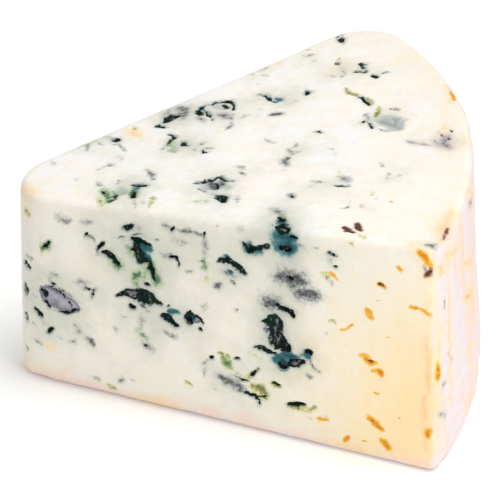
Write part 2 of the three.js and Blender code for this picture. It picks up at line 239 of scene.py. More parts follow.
TOP_TRAILS: dict[Mould, tuple[Trail, ...]] = {
    Mould.CREVICE: (
        (1.2, 1, 27.9, 38.2, 27, 36.8, 26.7, 35), (0.6, 1, 25.8, 33, 27.5, 32.7),
        (0.5, 1, 30.9, 41, 31.4, 43, 33.5, 45, 36, 45.8, 37.6, 44.4, 38.1, 42.2),
        (0.9, 0.9, 31.3, 40.2, 32.5, 39.4), (0.7, 1, 33.8, 40.8, 34.3, 39.6),
        (0.4, 0.8, 31.5, 41.5, 33.5, 41, 36, 37.5), (0.5, 0.9, 35, 44.2, 36.4, 43.4),
        (0.5, 1, 29.7, 30.4, 31, 29.8, 30.8, 28, 31.2, 25.5, 31, 24.6),
        (0.8, 0.7, 33.3, 28.4, 34.5, 26.9, 35.9, 26.8), (0.45, 0.9, 39.2, 26.6, 39.6, 25.2, 40.8, 25.4),
        (0.75, 1, 19.3, 25.7, 20.5, 25), (0.5, 1, 23.1, 15.5, 23.4, 15.5),
        (0.7, 1, 31, 9.5, 33.5, 9.8, 34.2, 10.2), (0.7, 1, 32.4, 7, 33, 5.5),
        (0.45, 1, 26.1, 5.8, 27.2, 5.6), (0.55, 1, 29, 6, 29.7, 4, 29.8, 2.3),
        (0.5, 1, 42.8, 13.7, 44.3, 13.4, 46, 15.3, 47.3, 16.9), (0.5, 1, 47.3, 16.8, 49, 15.8, 50.2, 16),
        (0.4, 0.8, 47, 14.4, 48, 13.4, 48.5, 12), (0.45, 0.9, 44.5, 11, 47, 10.6, 49, 10.2),
        (1.1, 1, 49.5, 9.4, 51, 9.2, 52, 7.9), (0.35, 0.9, 57.9, 38.1, 59, 38.8, 59.7, 38.2),
        (0.4, 0.9, 57.6, 30.4, 58, 29.8), (0.7, 0.8, 63.6, 12.8, 64.1, 12.5),
        (0.5, 0.9, 70.5, 18.5, 72, 18.5, 73.3, 19), (0.35, 0.8, 75.6, 13.5, 76.3, 11.5, 75.7, 10.6),
        (0.7, 0.9, 64.7, 4.6, 66.5, 3.6), (1.4, 1, 65.8, 1.1, 68, 0.8), (0.35, 0.7, 82, 44.2, 83.3, 43),
        (0.35, 0.7, 83, 45.2, 85, 44.6), (0.5, 0.7, 85, 42.7, 85.6, 41.8), (0.45, 0.9, 99.9, 4, 100.6, 3.6),
        (0.8, 1, 47.8, 75.9, 48, 75.4), (0.45, 0.9, 47.4, 78, 46.6, 76.6), (0.4, 0.8, 48.5, 75, 49, 74.5),
        (0.5, 0.9, 50.7, 66.1, 51.5, 65.7), (0.55, 1, 55.7, 67, 57, 67.4),
        (0.5, 1, 56, 66.7, 57.2, 65.5, 57.7, 64.5), (0.55, 1, 55.8, 63.6, 57.8, 63.8),
        (0.6, 1, 59.7, 63.2, 61.3, 62), (0.5, 0.9, 61.8, 63.8, 62.5, 65.1, 63.3, 64.7),
        (0.65, 0.8, 60, 54.5, 62, 53, 64.5, 51), (0.5, 0.9, 65.2, 44, 65.9, 45),
        (0.5, 0.8, 66.5, 44.5, 68.8, 42), (0.35, 0.7, 70, 41.9, 73, 41.6), (0.4, 0.8, 68.8, 50.7, 71, 50.3),
        (0.65, 1, 40.3, 50.2, 42, 50, 44, 48.7, 45.5, 47.9), (0.45, 0.9, 49.7, 53.5, 50.3, 52.3),
        (0.4, 0.9, 40.5, 49.2, 42.2, 49.1), (0.35, 0.8, 38.5, 53.9, 38.6, 53.7),
    ),
    Mould.TEAL: (
        (0.9, 0.8, 45.3, 49.4, 46.3, 48.8), (0.6, 0.8, 43.2, 13, 44, 12.6), (0.6, 0.9, 65.3, 2.5, 67, 2.6),
        (1.2, 0.7, 65.6, 4, 67, 1.8), (0.6, 0.7, 31, 42.4, 32.2, 41.4), (0.9, 0.7, 31.6, 8.4, 32.6, 8.2),
    ),
    Mould.GREEN: (
        (1.1, 1, 31.4, 7.5, 33.2, 5.4), (1.1, 1, 26, 6, 27.8, 5, 29.2, 3.4), (1.1, 1, 29, 6, 29.7, 2.2),
        (1.8, 0.45, 31.6, 27.2, 33, 25.2), (1.3, 0.3, 46, 5.8, 48.8, 7), (0.9, 0.4, 17, 26.2, 18.8, 26.4),
        (0.5, 0.5, 31.1, 44.2, 32.6, 45.2), (0.9, 0.3, 81, 26, 81.4, 24.8),
        (0.7, 0.6, 64.4, 5.2, 66.2, 4.6),
    ),
    Mould.OLIVE: (
        (0.6, 0.8, 21.4, 31.2, 21.9, 30.4), (1.3, 0.7, 26.3, 3, 28.5, 1.5), (0.8, 0.6, 37.4, 6, 38.2, 2.5),
        (0.7, 0.4, 68, 26, 69.5, 22.4), (0.5, 0.7, 80.7, 16.5, 81.3, 16.1),
        (0.9, 0.6, 82.6, 2.2, 84.4, 1.2), (0.7, 0.7, 50.4, 68, 50.4, 66.9),
        (0.9, 0.9, 56.8, 57, 57.8, 55.2, 60, 54.5), (0.9, 0.7, 62.5, 53.6, 64.5, 52),
        (0.7, 0.95, 66.5, 51, 67.3, 48.5, 67.5, 47.5), (0.6, 0.5, 37.6, 3.2, 38.6, 1.2),
        (0.6, 0.4, 76, 10.4, 75.2, 10.2), (0.7, 0.4, 79, 18, 79.6, 16.4),
    ),
    Mould.SLATE: (
        (0.5, 0.8, 41.6, 49.5, 42.6, 49.3),
    ),
    Mould.ASH: (
        (2.3, 1, 69, 46.4, 72, 45.2, 73, 43.8), (1.3, 0.7, 33.4, 43.8, 36.4, 43),
        (1.9, 0.8, 45.6, 13, 47.6, 12.6), (1.5, 0.7, 47, 14.8, 48.4, 14),
        (1.1, 0.7, 49.4, 13.8, 50.4, 12.4), (1.4, 0.6, 62.6, 53, 64, 52), (1.2, 0.75, 98.6, 1, 100.4, 0.8),
        (1.1, 0.7, 29.2, 7.8, 30.6, 5.6),
    ),
    Mould.MAUVE: (
        (1.9, 0.9, 84.4, 42.6, 85, 40, 86.8, 38.6), (1.1, 0.7, 77.5, 39.2, 79.3, 38.5, 82.6, 38.4),
        (1.5, 0.8, 26.4, 40.4, 28.8, 39.6), (1.5, 0.6, 70.4, 22, 72.6, 20.8),
        (1.1, 0.6, 46.6, 43, 48, 43.4), (1.6, 0.5, 36.4, 40.6, 38.4, 39.4),
        (1.0, 0.6, 77.5, 62.6, 78.6, 60.4), (1.1, 0.8, 98.8, 9.6, 99.8, 6, 100, 4),
    ),
    Mould.SMUDGE: (
        (1.5, 0.8, 26.4, 41, 28.4, 40.2, 29.4, 37), (1.0, 0.6, 25.4, 39.4, 25.6, 37),
        (1.3, 0.7, 36.4, 40.6, 38.4, 39.4), (1.0, 0.7, 32.4, 38.4, 34, 36.6),
        (0.6, 0.8, 40.6, 36.4, 40.3, 34.8), (0.5, 0.6, 38.6, 41, 39.4, 39, 40.4, 36.6),
        (0.45, 0.8, 41, 40.2, 42.4, 41.4), (0.8, 0.7, 32.6, 24.4, 33.6, 24),
        (0.6, 0.7, 37.3, 28.6, 37.9, 28), (0.5, 0.7, 37.6, 25.8, 38, 25.5),
        (0.5, 0.7, 39.4, 27, 40.9, 26.8), (0.5, 0.8, 20.3, 23.5, 21.5, 23.8, 23.6, 22),
        (0.45, 0.8, 13.2, 20.3, 14.8, 22.5, 15.8, 24.5), (0.5, 0.8, 15, 22.8, 16.2, 20),
        (0.5, 0.7, 15.8, 24, 18, 23.2), (0.5, 0.8, 21.7, 13.5, 23, 15), (0.9, 0.4, 23.8, 19.2, 24.4, 18.2),
        (0.8, 0.8, 31.5, 15.5, 33, 14.3, 34, 12.6), (0.9, 0.35, 11.2, 13.8, 12, 13),
        (0.45, 0.7, 18.6, 8.7, 19, 8.3), (0.35, 0.6, 39.2, 17.3, 39.4, 17.1), (0.5, 0.8, 23.4, 9.2, 25, 7),
        (0.6, 0.7, 33.3, 4.2, 35.4, 1.2), (0.6, 0.6, 28, 10.4, 28.2, 9), (0.6, 0.7, 35.8, 4, 36.4, 3),
        (0.7, 0.6, 53.5, 10.5, 55, 8), (1.3, 0.95, 46.2, 14.2, 48.2, 12.6), (0.8, 0.9, 48, 15.4, 49, 13.4),
        (0.8, 0.8, 49, 21, 50.5, 20.3), (0.6, 0.8, 50.4, 19.2, 51.6, 18.4), (1.0, 0.8, 46.6, 43, 48, 43.4),
        (0.8, 0.45, 49.6, 33, 51.6, 32), (0.6, 0.75, 56.5, 33, 56.8, 31.3), (0.9, 0.8, 56, 30.3, 57, 28.8),
        (1.1, 0.85, 57.1, 27, 57.1, 25.5, 58, 24), (0.4, 0.6, 57.7, 22.8, 58, 22),
        (0.7, 0.6, 57.9, 37.6, 59.4, 37.5), (1.1, 0.8, 63.4, 12.9, 64.4, 12.4),
        (1.2, 0.5, 65.4, 19.4, 67.6, 19), (0.5, 0.5, 65.6, 17.6, 66, 17.2),
        (1.3, 0.6, 70.4, 22, 72.6, 20.8), (0.45, 0.6, 63.8, 32.1, 64.3, 31.8),
        (0.5, 0.4, 65.5, 30.3, 66, 30), (0.35, 0.7, 72.5, 13.4, 72.7, 13.1), (1.3, 0.7, 62.6, 7, 65, 5.6),
        (1.1, 0.6, 84.6, 41.6, 85.2, 39.4, 86.4, 38.8), (0.6, 0.6, 77.5, 39.2, 79.3, 38.5),
        (0.6, 0.5, 80.6, 38.8, 82.6, 38.2), (0.9, 0.6, 83, 40.2, 84, 39.2), (0.7, 0.5, 75.4, 29.6, 77, 28),
        (0.6, 0.65, 78.4, 26, 80, 24.8), (0.6, 0.65, 79, 24, 80.4, 23.3),
        (0.7, 0.6, 43.2, 67.3, 44.4, 68.2), (0.45, 0.6, 45.8, 66.1, 46.1, 65.8),
        (0.6, 0.5, 52, 65, 54, 63, 54.5, 60.8), (0.5, 0.8, 54, 61, 54.6, 60.6),
        (0.6, 0.6, 47.5, 47.8, 48, 47.4), (0.9, 0.4, 48.6, 49, 49.4, 48), (0.7, 0.8, 49.5, 54, 50.4, 51.8),
        (0.7, 0.4, 35.5, 57.7, 36.1, 57.3), (0.7, 0.4, 38, 57.6, 38.8, 57.4),
        (0.8, 0.4, 37.7, 61.4, 36.5, 59), (0.6, 0.35, 42, 69.8, 43.2, 70.6),
        (0.35, 0.6, 43.1, 44.8, 43.7, 44.7), (0.6, 0.4, 74.6, 49.8, 75.4, 49.2),
        (0.9, 0.4, 79, 12.9, 79.4, 12), (0.8, 0.7, 65.6, 47.2, 66.6, 45.4),
        (0.9, 0.6, 71.4, 47.2, 72.6, 46.4), (0.8, 0.4, 51.2, 60.2, 52.6, 60),
        (0.9, 0.8, 96.8, 1.4, 98.4, 1.6, 99.6, 2.4),
    ),
    Mould.AMBER: (
        (0.45, 0.7, 83.9, 15.9, 84.5, 15), (0.7, 0.7, 99, 9.8, 99.8, 6.4), (0.5, 1, 96.9, 1.2, 96.4, 0.2),
        (0.6, 1, 78.6, 59.8, 79.6, 58.2, 80.4, 56.2),
    ),
    Mould.RUST: (
        (0.9, 1, 80.8, 5.6, 82.3, 3.9), (0.8, 1, 79.3, 3.4, 81.4, 2.3),
        (1.0, 0.7, 99.2, 9, 99.8, 6.4, 99.9, 4.8), (0.5, 0.7, 79.8, 57.6, 80.4, 56.2),
        (1.1, 0.5, 27.8, 38.4, 26.8, 36.4),
    ),
    Mould.STAIN: (
        (1.8, 0.8, 96.8, 15, 98, 9.5, 99.4, 3.4), (1.2, 0.7, 76.6, 62.4, 78.6, 59.4, 80.4, 55),
        (1.3, 0.6, 97, 26, 98, 21), (1.1, 0.4, 38.7, 64, 39.4, 63), (1.0, 0.5, 82.2, 46.6, 83.6, 43.4),
        (1.6, 0.6, 21, 29.6, 23.6, 28.4), (2.2, 0.5, 9, 4, 13, 2.4), (1.5, 0.5, 96, 1.8, 94, 0.8),
    ),
}

RIND_TRAILS: dict[Mould, tuple[Trail, ...]] = {
    Mould.AMBER: (
        (1.0, 1, 0.5, 24.6, 0.9, 20.6), (0.5, 0.8, 19, 30, 21, 29.4), (0.45, 0.6, 1.6, 43.6, 2.6, 42.8),
    ),
    Mould.RUST: (
        (0.6, 0.7, 0.4, 24.4, 0.8, 22.4), (0.35, 0.7, 0.4, 17, 0.5, 13),
    ),
    Mould.STAIN: (
        (1.0, 0.8, 0.8, 40, 1, 6), (1.4, 0.9, 0.8, 45.5, 4, 43), (1.2, 0.8, 4, 47, 9, 44.5, 14, 44),
        (1.8, 0.7, 18, 38, 24, 35, 30, 33), (1.6, 0.9, 17, 30.5, 22, 29, 27, 26),
        (1.3, 0.6, 17, 19, 24, 17), (1.8, 0.7, 26, 8.5, 34, 5.5, 42, 3.5),
        (1.7, 0.8, 46, 24, 53, 18, 58, 10), (1.1, 0.9, 0.6, 22.5, 1, 21), (0.9, 0.5, 2.5, 31.5, 3.5, 30),
        (1.6, 0.7, 6.5, 40, 7.5, 12), (1.6, 0.6, 66, 40, 72, 31, 75, 27), (1.3, 0.7, 80, 20, 87, 14),
        (1.5, 0.6, 62, 8, 70, 6), (1.0, 0.6, 90, 42, 97, 37),
    ),
    Mould.CREVICE: (
        (0.5, 0.8, 18.6, 29.6, 20, 29), (0.45, 0.7, 55, 9.6, 57.6, 8.2), (0.4, 0.7, 71, 30.4, 73, 28.6),
        (0.4, 0.6, 3.6, 36.6, 4, 35),
    ),
    Mould.SMUDGE: (
        (1.1, 0.5, 24, 47.5, 30, 46), (0.9, 0.4, 46, 39.5, 51, 37.5), (1.2, 0.4, 3, 18.5, 4.4, 17.4),
        (1.2, 0.35, 1.5, 13.5, 4, 11.5), (0.9, 0.4, 5, 25, 8, 22), (1.1, 0.4, 78, 34, 84, 31),
    ),
}


def smooth_step(low: float, high: float, value: np.ndarray) -> np.ndarray:
    """Rises from 0 at low to 1 at high along 3t^2 - 2t^3."""
    share = np.clip((value - low) / (high - low), 0.0, 1.0)
    return share * share * (3.0 - 2.0 * share)


@dataclass(frozen=True)
class WedgeForm:
    """Sizes of the wedge in millimetres: those of its solid, and then those that shape its skin alone."""

    wheel_radius: float = 100.0
    angle: float = math.radians(60.0)
    front_corner_height: float = 50.0
    rise_along_front: float = 8.4
    rise_to_back: float = 6.8
    rind_flare: float = 1.7
    tip_round: float = 9.8
    front_corner_round: float = 2.2
    back_corner_round: float = 10.6
    edge_round: float = 2.0

    tuck: float = 2.9
    tuck_height: float = 16.0
    tuck_depth: float = 25.0
    tuck_gain: float = 1.1
    tuck_start: tuple[float, float] = (8.0, 15.5)
    belly: float = 0.8
    belly_rise: tuple[float, float] = (0.0, 10.0)
    belly_fall: tuple[float, float] = (38.0, 10.0)
    belly_start: tuple[float, float] = (5.0, 21.0)
    belly_end: tuple[float, float] = (98.0, 84.0)
    draw: float = 1.05
    draw_height: float = 7.0
    draw_end: tuple[float, float] = (36.0, 17.0)
    rim_band: tuple[float, float] = (0.86, 0.99)

    def top_height(self, x: np.ndarray, y: np.ndarray) -> np.ndarray:
        """Height of the sloping top cut: a plane that rises along x and along y."""
        along = (x / self.wheel_radius - 1.0) * self.rise_along_front
        return self.front_corner_height + along + y / self.wheel_radius * self.rise_to_back

    def top_normal(self) -> np.ndarray:
        """Unit vector square to the top cut."""
        slope = np.array([-self.rise_along_front, -self.rise_to_back, self.wheel_radius])
        return slope / np.linalg.norm(slope)

    def rim(self, height: np.ndarray) -> np.ndarray:
        """Distance of the rind's straight slope from the wheel's axis, at a height."""
        return self.wheel_radius + self.rind_flare * (1.0 - height / self.front_corner_height)

    @staticmethod
    def _widened(points: np.ndarray, widening: np.ndarray) -> np.ndarray:
        """Points moved level away from the wheel's axis, each by its own factor."""
        return points * np.stack([widening, widening, np.ones_like(widening)], axis=-1)

    def flared(self, points: np.ndarray) -> np.ndarray:
        """Widens points about the wheel's axis, by the whole flare at the base and none at the top.

        Args:
            points: Points before the flare, with coordinates along the last axis.

        Returns:
            The points moved level with the base; both cuts stay on their upright planes.
        """
        share = points[..., 2] / self.top_height(points[..., 0], points[..., 1])
        return self._widened(points, 1.0 + self.rind_flare / self.wheel_radius * (1.0 - share))

    def tucked(self, points: np.ndarray) -> np.ndarray:
        """Draws the foot of the front cut in, most beside the tip and not at all at the rind.

        The move along +Y is the tuck times the gained share of the way from the rind, which
        stops at 1, times (1 - z / height)^2 and (1 - y / depth). It fades out round the tip.

        Args:
            points: Points with coordinates along the last axis.

        Returns:
            The points with the front cut's foot drawn in.
        """
        x, y, z = np.moveaxis(points, -1, 0)
        along = np.clip(self.tuck_gain * (1.0 - x / self.wheel_radius), 0.0, 1.0)
        along *= smooth_step(*self.tuck_start, x)
        up = np.clip(1.0 - z / self.tuck_height, 0.0, 1.0) ** 2
        inside = np.clip(1.0 - y / self.tuck_depth, 0.0, 1.0)
        return points + np.stack([0.0 * x, self.tuck * along * up * inside, 0.0 * x], axis=-1)

    def rind_shift(self, points: np.ndarray) -> np.ndarray:
        """How far the rind stands out from its straight slope, by the height and the way round it.

        It bellies out low down between its two corners. Its foot is drawn in by the draw times
        (1 - z / height)^2 beside the front corner, and less and less farther round.

        Args:
            points: Points with coordinates along the last axis.

        Returns:
            Millimetres away from the wheel's axis.
        """
        x, y, z = np.moveaxis(points, -1, 0)
        around = self.wheel_radius * np.arctan2(y, x)
        height = smooth_step(*self.belly_rise, z) * smooth_step(*self.belly_fall, z)
        between = smooth_step(*self.belly_start, around) * smooth_step(*self.belly_end, around)
        foot = np.clip(1.0 - z / self.draw_height, 0.0, 1.0) ** 2 * smooth_step(*self.draw_end, around)
        return self.belly * height * between - self.draw * foot

    def bellied(self, points: np.ndarray) -> np.ndarray:
        """Moves points level by the rind's shift, in full at the rim and not at all inside its band.

        Args:
            points: Points with coordinates along the last axis.

        Returns:
            The moved points.
        """
        reach = np.maximum(np.hypot(points[..., 0], points[..., 1]), 1.0)
        share = smooth_step(*self.rim_band, reach / self.wheel_radius)
        return self._widened(points, 1.0 + self.rind_shift(points) * share / reach)

    def face_points(self, face: Face, first: np.ndarray, second: np.ndarray) -> np.ndarray:
        """Turns the two coordinates of a face into points in space.

        A distance along a cut that is less than the one where the tip's rounding starts is
        carried on round the tip. The points follow the tuck of the cuts and the rind's shift.

        Args:
            face: Face that the coordinates belong to.
            first: First coordinate, in millimetres.
            second: Second coordinate, in millimetres.

        Returns:
            Points with x, y and z along the last axis.
        """
        if face is Face.TOP:
            return np.stack([first, second, self.top_height(first, second)], axis=-1)
        if face is Face.RIND:
            turn = first / self.wheel_radius
            reach = self.rim(second)
            return self.bellied(np.stack([reach * np.cos(turn), reach * np.sin(turn), second], axis=-1))
        tangent = self.tip_round / math.tan(self.angle / 2.0)
        turn = np.maximum(tangent - first, 0.0) / self.tip_round
        x = np.maximum(first, tangent) - self.tip_round * np.sin(turn)
        y = self.tip_round * (1.0 - np.cos(turn))
        if face is Face.BACK:
            cosine, sine = math.cos(self.angle), math.sin(self.angle)
            x, y = x * cosine + y * sine, x * sine - y * cosine
        return self.bellied(self.tucked(np.stack([x, y, second], axis=-1)))


@dataclass
class LatticeNoise:
    """Smooth noise in space: random values on a repeating cubic lattice, blended between its points."""

    seed: int
    period: int = 32
    layer_gap: float = 7.3
    values: np.ndarray = field(init=False, repr=False)

    def __post_init__(self) -> None:
        """Fills the lattice with values from -1 to 1."""
        self.values = np.random.default_rng(self.seed).uniform(-1.0, 1.0, (self.period,) * 3)

    def at(self, points: np.ndarray, wavelength: float) -> np.ndarray:
        """Blends the eight lattice values round each point with the fade 6t^5 - 15t^4 + 10t^3.

        Args:
            points: Points with coordinates along the last axis.
            wavelength: Distance between lattice points.

        Returns:
            One value from -1 to 1 for each point.
        """
        cell = np.floor(points / wavelength).astype(int)
        part = points / wavelength - cell
        fade = part ** 3 * (part * (6.0 * part - 15.0) + 10.0)
        total = np.zeros(points.shape[:-1])
        for corner in np.ndindex(2, 2, 2):
            index = (cell + corner) % self.period
            share = np.where(corner, fade, 1.0 - fade).prod(axis=-1)
            total += share * self.values[index[..., 0], index[..., 1], index[..., 2]]
        return total

    def layered(self, points: np.ndarray, wavelength: float, layers: int) -> np.ndarray:
        """Adds layers of noise, each with half the wavelength and half the height of the last.

        Args:
            points: Points with coordinates along the last axis.
            wavelength: Distance between lattice points in the first layer.
            layers: How many layers there are.

        Returns:
            One value for each point.
        """
        parts = []
        for layer in range(layers):
            share = 0.5 ** layer
            parts.append(share * self.at(points + self.layer_gap * layer, wavelength * share))
        return np.sum(parts, axis=0)


@dataclass
class WedgeSkin:
    """The closed grid of the wedge: a wall right round it, an even top patch and rings for the base."""

    form: WedgeForm
    side_steps: int = 154
    wall_rows: int = 98
    edge_rows: int = 5
    base_rings: int = 7
    arc_samples: int = 400

    def _corner(self, centre: np.ndarray, radius: float, start: float, end: float) -> np.ndarray:
        """Samples the arc centre + radius (cos a, sin a), for a from start to end.

        Args:
            centre: Middle of the arc, x and y.
            radius: Its radius.
            start: Angle of its first point.
            end: Angle of its last point.

        Returns:
            Rows of x, y and the outward direction.
        """
        angles = np.linspace(start, end, self.arc_samples)
        outward = np.stack([np.cos(angles), np.sin(angles)], axis=-1)
        return np.concatenate([centre + radius * outward, outward], axis=-1)

    def outline(self) -> np.ndarray:
        """Works out the outline seen from above, anticlockwise from the middle of the tip.

        The tip, the two rind corners and the rind are arcs, and the cuts are the straight
        stretches between them. The whole is resampled at even distances along itself.

        Returns:
            One row of x, y and the outward direction for each column of the wall.
        """
        form = self.form
        quarter = math.pi / 2.0
        half = form.angle / 2.0
        tip = form.tip_round / math.sin(half) * np.array([math.cos(half), math.sin(half)])
        front_reach = form.wheel_radius - form.front_corner_round
        front_turn = math.asin(form.front_corner_round / front_reach)
        front = front_reach * np.array([math.cos(front_turn), math.sin(front_turn)])
        back_reach = form.wheel_radius - form.back_corner_round
        back_turn = form.angle - math.asin(form.back_corner_round / back_reach)
        back = back_reach * np.array([math.cos(back_turn), math.sin(back_turn)])
        arcs = [
            self._corner(tip, form.tip_round, 2.0 * quarter + half, 3.0 * quarter),
            self._corner(front, form.front_corner_round, -quarter, front_turn),
            self._corner(np.zeros(2), form.wheel_radius, front_turn, back_turn)[1:],
            self._corner(back, form.back_corner_round, back_turn, form.angle + quarter)[1:],
            self._corner(tip, form.tip_round, form.angle + quarter, 2.0 * quarter + half),
        ]
        chain = np.concatenate(arcs)
        reach = np.concatenate([[0.0], np.cumsum(np.linalg.norm(np.diff(chain[:, :2], axis=0), axis=1))])
        wanted = np.linspace(0.0, reach[-1], 4 * self.side_steps, endpoint=False)
        return np.stack([np.interp(wanted, reach, column) for column in chain.T], axis=-1)

    def _profile(self) -> np.ndarray:
        """One upright profile: the inset from the outline, the share of the height, and the two end gaps.

        The base and top edges are quarter circles of the edge rounding, and the wall between
        them is straight. Height is (1 - share) * gap below + share * (top - gap above).

        Returns:
            Rows of inset, share, gap below, gap above, outward part and upward part of the normal.
        """
        radius = self.form.edge_round
        turn = np.linspace(0.0, math.pi / 2.0, self.edge_rows + 1)
        share = np.linspace(0.0, 1.0, self.wall_rows + 1)[1:-1]
        none, one = 0.0 * turn, np.ones_like(turn)
        flat, full = 0.0 * share, np.ones_like(share)
        shrink_sine, shrink_cosine = radius * (1.0 - np.sin(turn)), radius * (1.0 - np.cos(turn))
        low = [shrink_sine, none, shrink_cosine, none, np.sin(turn), -np.cos(turn)]
        wall = [flat, share, radius * full, radius * full, full, flat]
        high = [shrink_cosine, one, none, shrink_sine, np.cos(turn), np.sin(turn)]
        return np.concatenate([np.stack(part, axis=-1) for part in (low, wall, high)])

    def _wall(self, loop: np.ndarray) -> tuple[np.ndarray, np.ndarray]:
        """Carries the profile round the outline.

        Args:
            loop: The closed outline, one row for each column of the wall.

        Returns:
            Points and outward directions, each as rows of the profile by columns of the outline.
        """
        inset, share, below, above, outward, upward = (part[:, None] for part in self._profile().T)
        plan = loop[None, :, :2] - inset[..., None] * loop[None, :, 2:]
        top = self.form.top_height(plan[..., 0], plan[..., 1])
        height = (1.0 - share) * below + share * (top - above)
        points = np.concatenate([plan, height[..., None]], axis=-1)
        sideways = outward[..., None] * loop[None, :, 2:]
        normals = np.concatenate([sideways, np.broadcast_to(upward[..., None], height.shape + (1,))], axis=-1)
        return points, normals

    def _even_patch(self, loop: np.ndarray) -> np.ndarray:
        """Fills a convex loop with a grid in which every inner point is the mean of its four neighbours.

        Those equations are solved at once with sine waves: S and its eigenvalues
        2 - 2 cos(k pi / n) undo the second difference in each direction, so the inner points
        are S ((S B S) / (row eigenvalue + column eigenvalue)) S, with B the rim's share.

        Args:
            loop: Points of the loop, four sides of equal step count.

        Returns:
            Square grid of points with the loop as its rim.
        """
        steps = self.side_steps
        closed = np.concatenate([loop, loop[:1]])
        grid = np.zeros((steps + 1, steps + 1, loop.shape[-1]))
        grid[:, 0], grid[-1, :] = closed[:steps + 1], closed[steps:2 * steps + 1]
        grid[:, -1], grid[0, :] = closed[2 * steps:3 * steps + 1][::-1], closed[3 * steps:][::-1]
        wave = np.arange(1, steps)
        sines = math.sqrt(2.0 / steps) * np.sin(np.outer(wave, wave) * math.pi / steps)
        bend = 2.0 - 2.0 * np.cos(wave * math.pi / steps)
        rim = np.zeros((steps - 1, steps - 1, loop.shape[-1]))
        rim[:, 0] += grid[1:-1, 0]
        rim[:, -1] += grid[1:-1, -1]
        rim[0, :] += grid[0, 1:-1]
        rim[-1, :] += grid[-1, 1:-1]
        eigenvalues = (bend[:, None] + bend[None, :])[..., None]
        turned = np.einsum("ij,jkc,kl->ilc", sines, rim, sines, optimize=True) / eigenvalues
        grid[1:-1, 1:-1] = np.einsum("ij,jkc,kl->ilc", sines, turned, sines, optimize=True)
        return grid

    def _patch_index(self, ring: np.ndarray, first_new: int) -> np.ndarray:
        """Numbers the patch's grid: its rim takes the ring's vertices and its inside takes new ones.

        Args:
            ring: Vertex numbers of the wall's top row.
            first_new: Number of the first new vertex.

        Returns:
            Square grid of vertex numbers.
        """
        steps = self.side_steps
        closed = np.concatenate([ring, ring[:1]])
        index = np.zeros((steps + 1, steps + 1), dtype=int)
        index[1:-1, 1:-1] = first_new + np.arange((steps - 1) ** 2).reshape(steps - 1, steps - 1)
        index[:, 0], index[-1, :] = closed[:steps + 1], closed[steps:2 * steps + 1]
        index[:, -1], index[0, :] = closed[2 * steps:3 * steps + 1][::-1], closed[3 * steps:][::-1]
        return index

    @staticmethod
    def _quads(index: np.ndarray) -> np.ndarray:
        """Quads of a numbered grid, wound anticlockwise for a first index to the right and a second up."""
        corners = [index[:-1, :-1], index[1:, :-1], index[1:, 1:], index[:-1, 1:]]
        return np.stack(corners, axis=-1).reshape(-1, 4)

    def build(self) -> tuple[np.ndarray, np.ndarray, list[list[int]]]:
        """Joins the wall, the top patch and the base's rings into one closed skin.

        Returns:
            Vertices, their outward directions, and faces that look outwards.
        """
        points, normals = self._wall(self.outline())
        rows, columns = points.shape[:2]
        wall_index = np.arange(rows * columns).reshape(rows, columns)
        top = self._even_patch(points[-1])
        top_index = self._patch_index(wall_index[-1], rows * columns)
        middle = points[0].mean(axis=0)
        scale = np.linspace(1.0, 0.0, self.base_rings + 1)[1:-1, None, None]
        rings = middle + scale * (points[0] - middle)
        first_ring = int(top_index.max()) + 1
        ring_index = first_ring + np.arange(rings.shape[0] * columns).reshape(-1, columns)
        last = first_ring + ring_index.size
        fresh = [points.reshape(-1, 3), top[1:-1, 1:-1].reshape(-1, 3), rings.reshape(-1, 3), middle[None]]
        under = np.broadcast_to([0.0, 0.0, -1.0], (ring_index.size + 1, 3))
        upper = np.broadcast_to(self.form.top_normal(), fresh[1].shape)
        around = np.concatenate([ring_index[::-1], wall_index])
        around = np.concatenate([around, around[:, :1]], axis=1)
        quads = np.concatenate([self._quads(around.T), self._quads(top_index)])
        fan = np.stack([around[0, 1:], around[0, :-1], np.full(columns, last)], axis=-1)
        outward = np.concatenate([normals.reshape(-1, 3), upper, under])
        shaped = self.form.bellied(self.form.tucked(self.form.flared(np.concatenate(fresh))))
        return shaped, outward, quads.tolist() + fan.tolist()


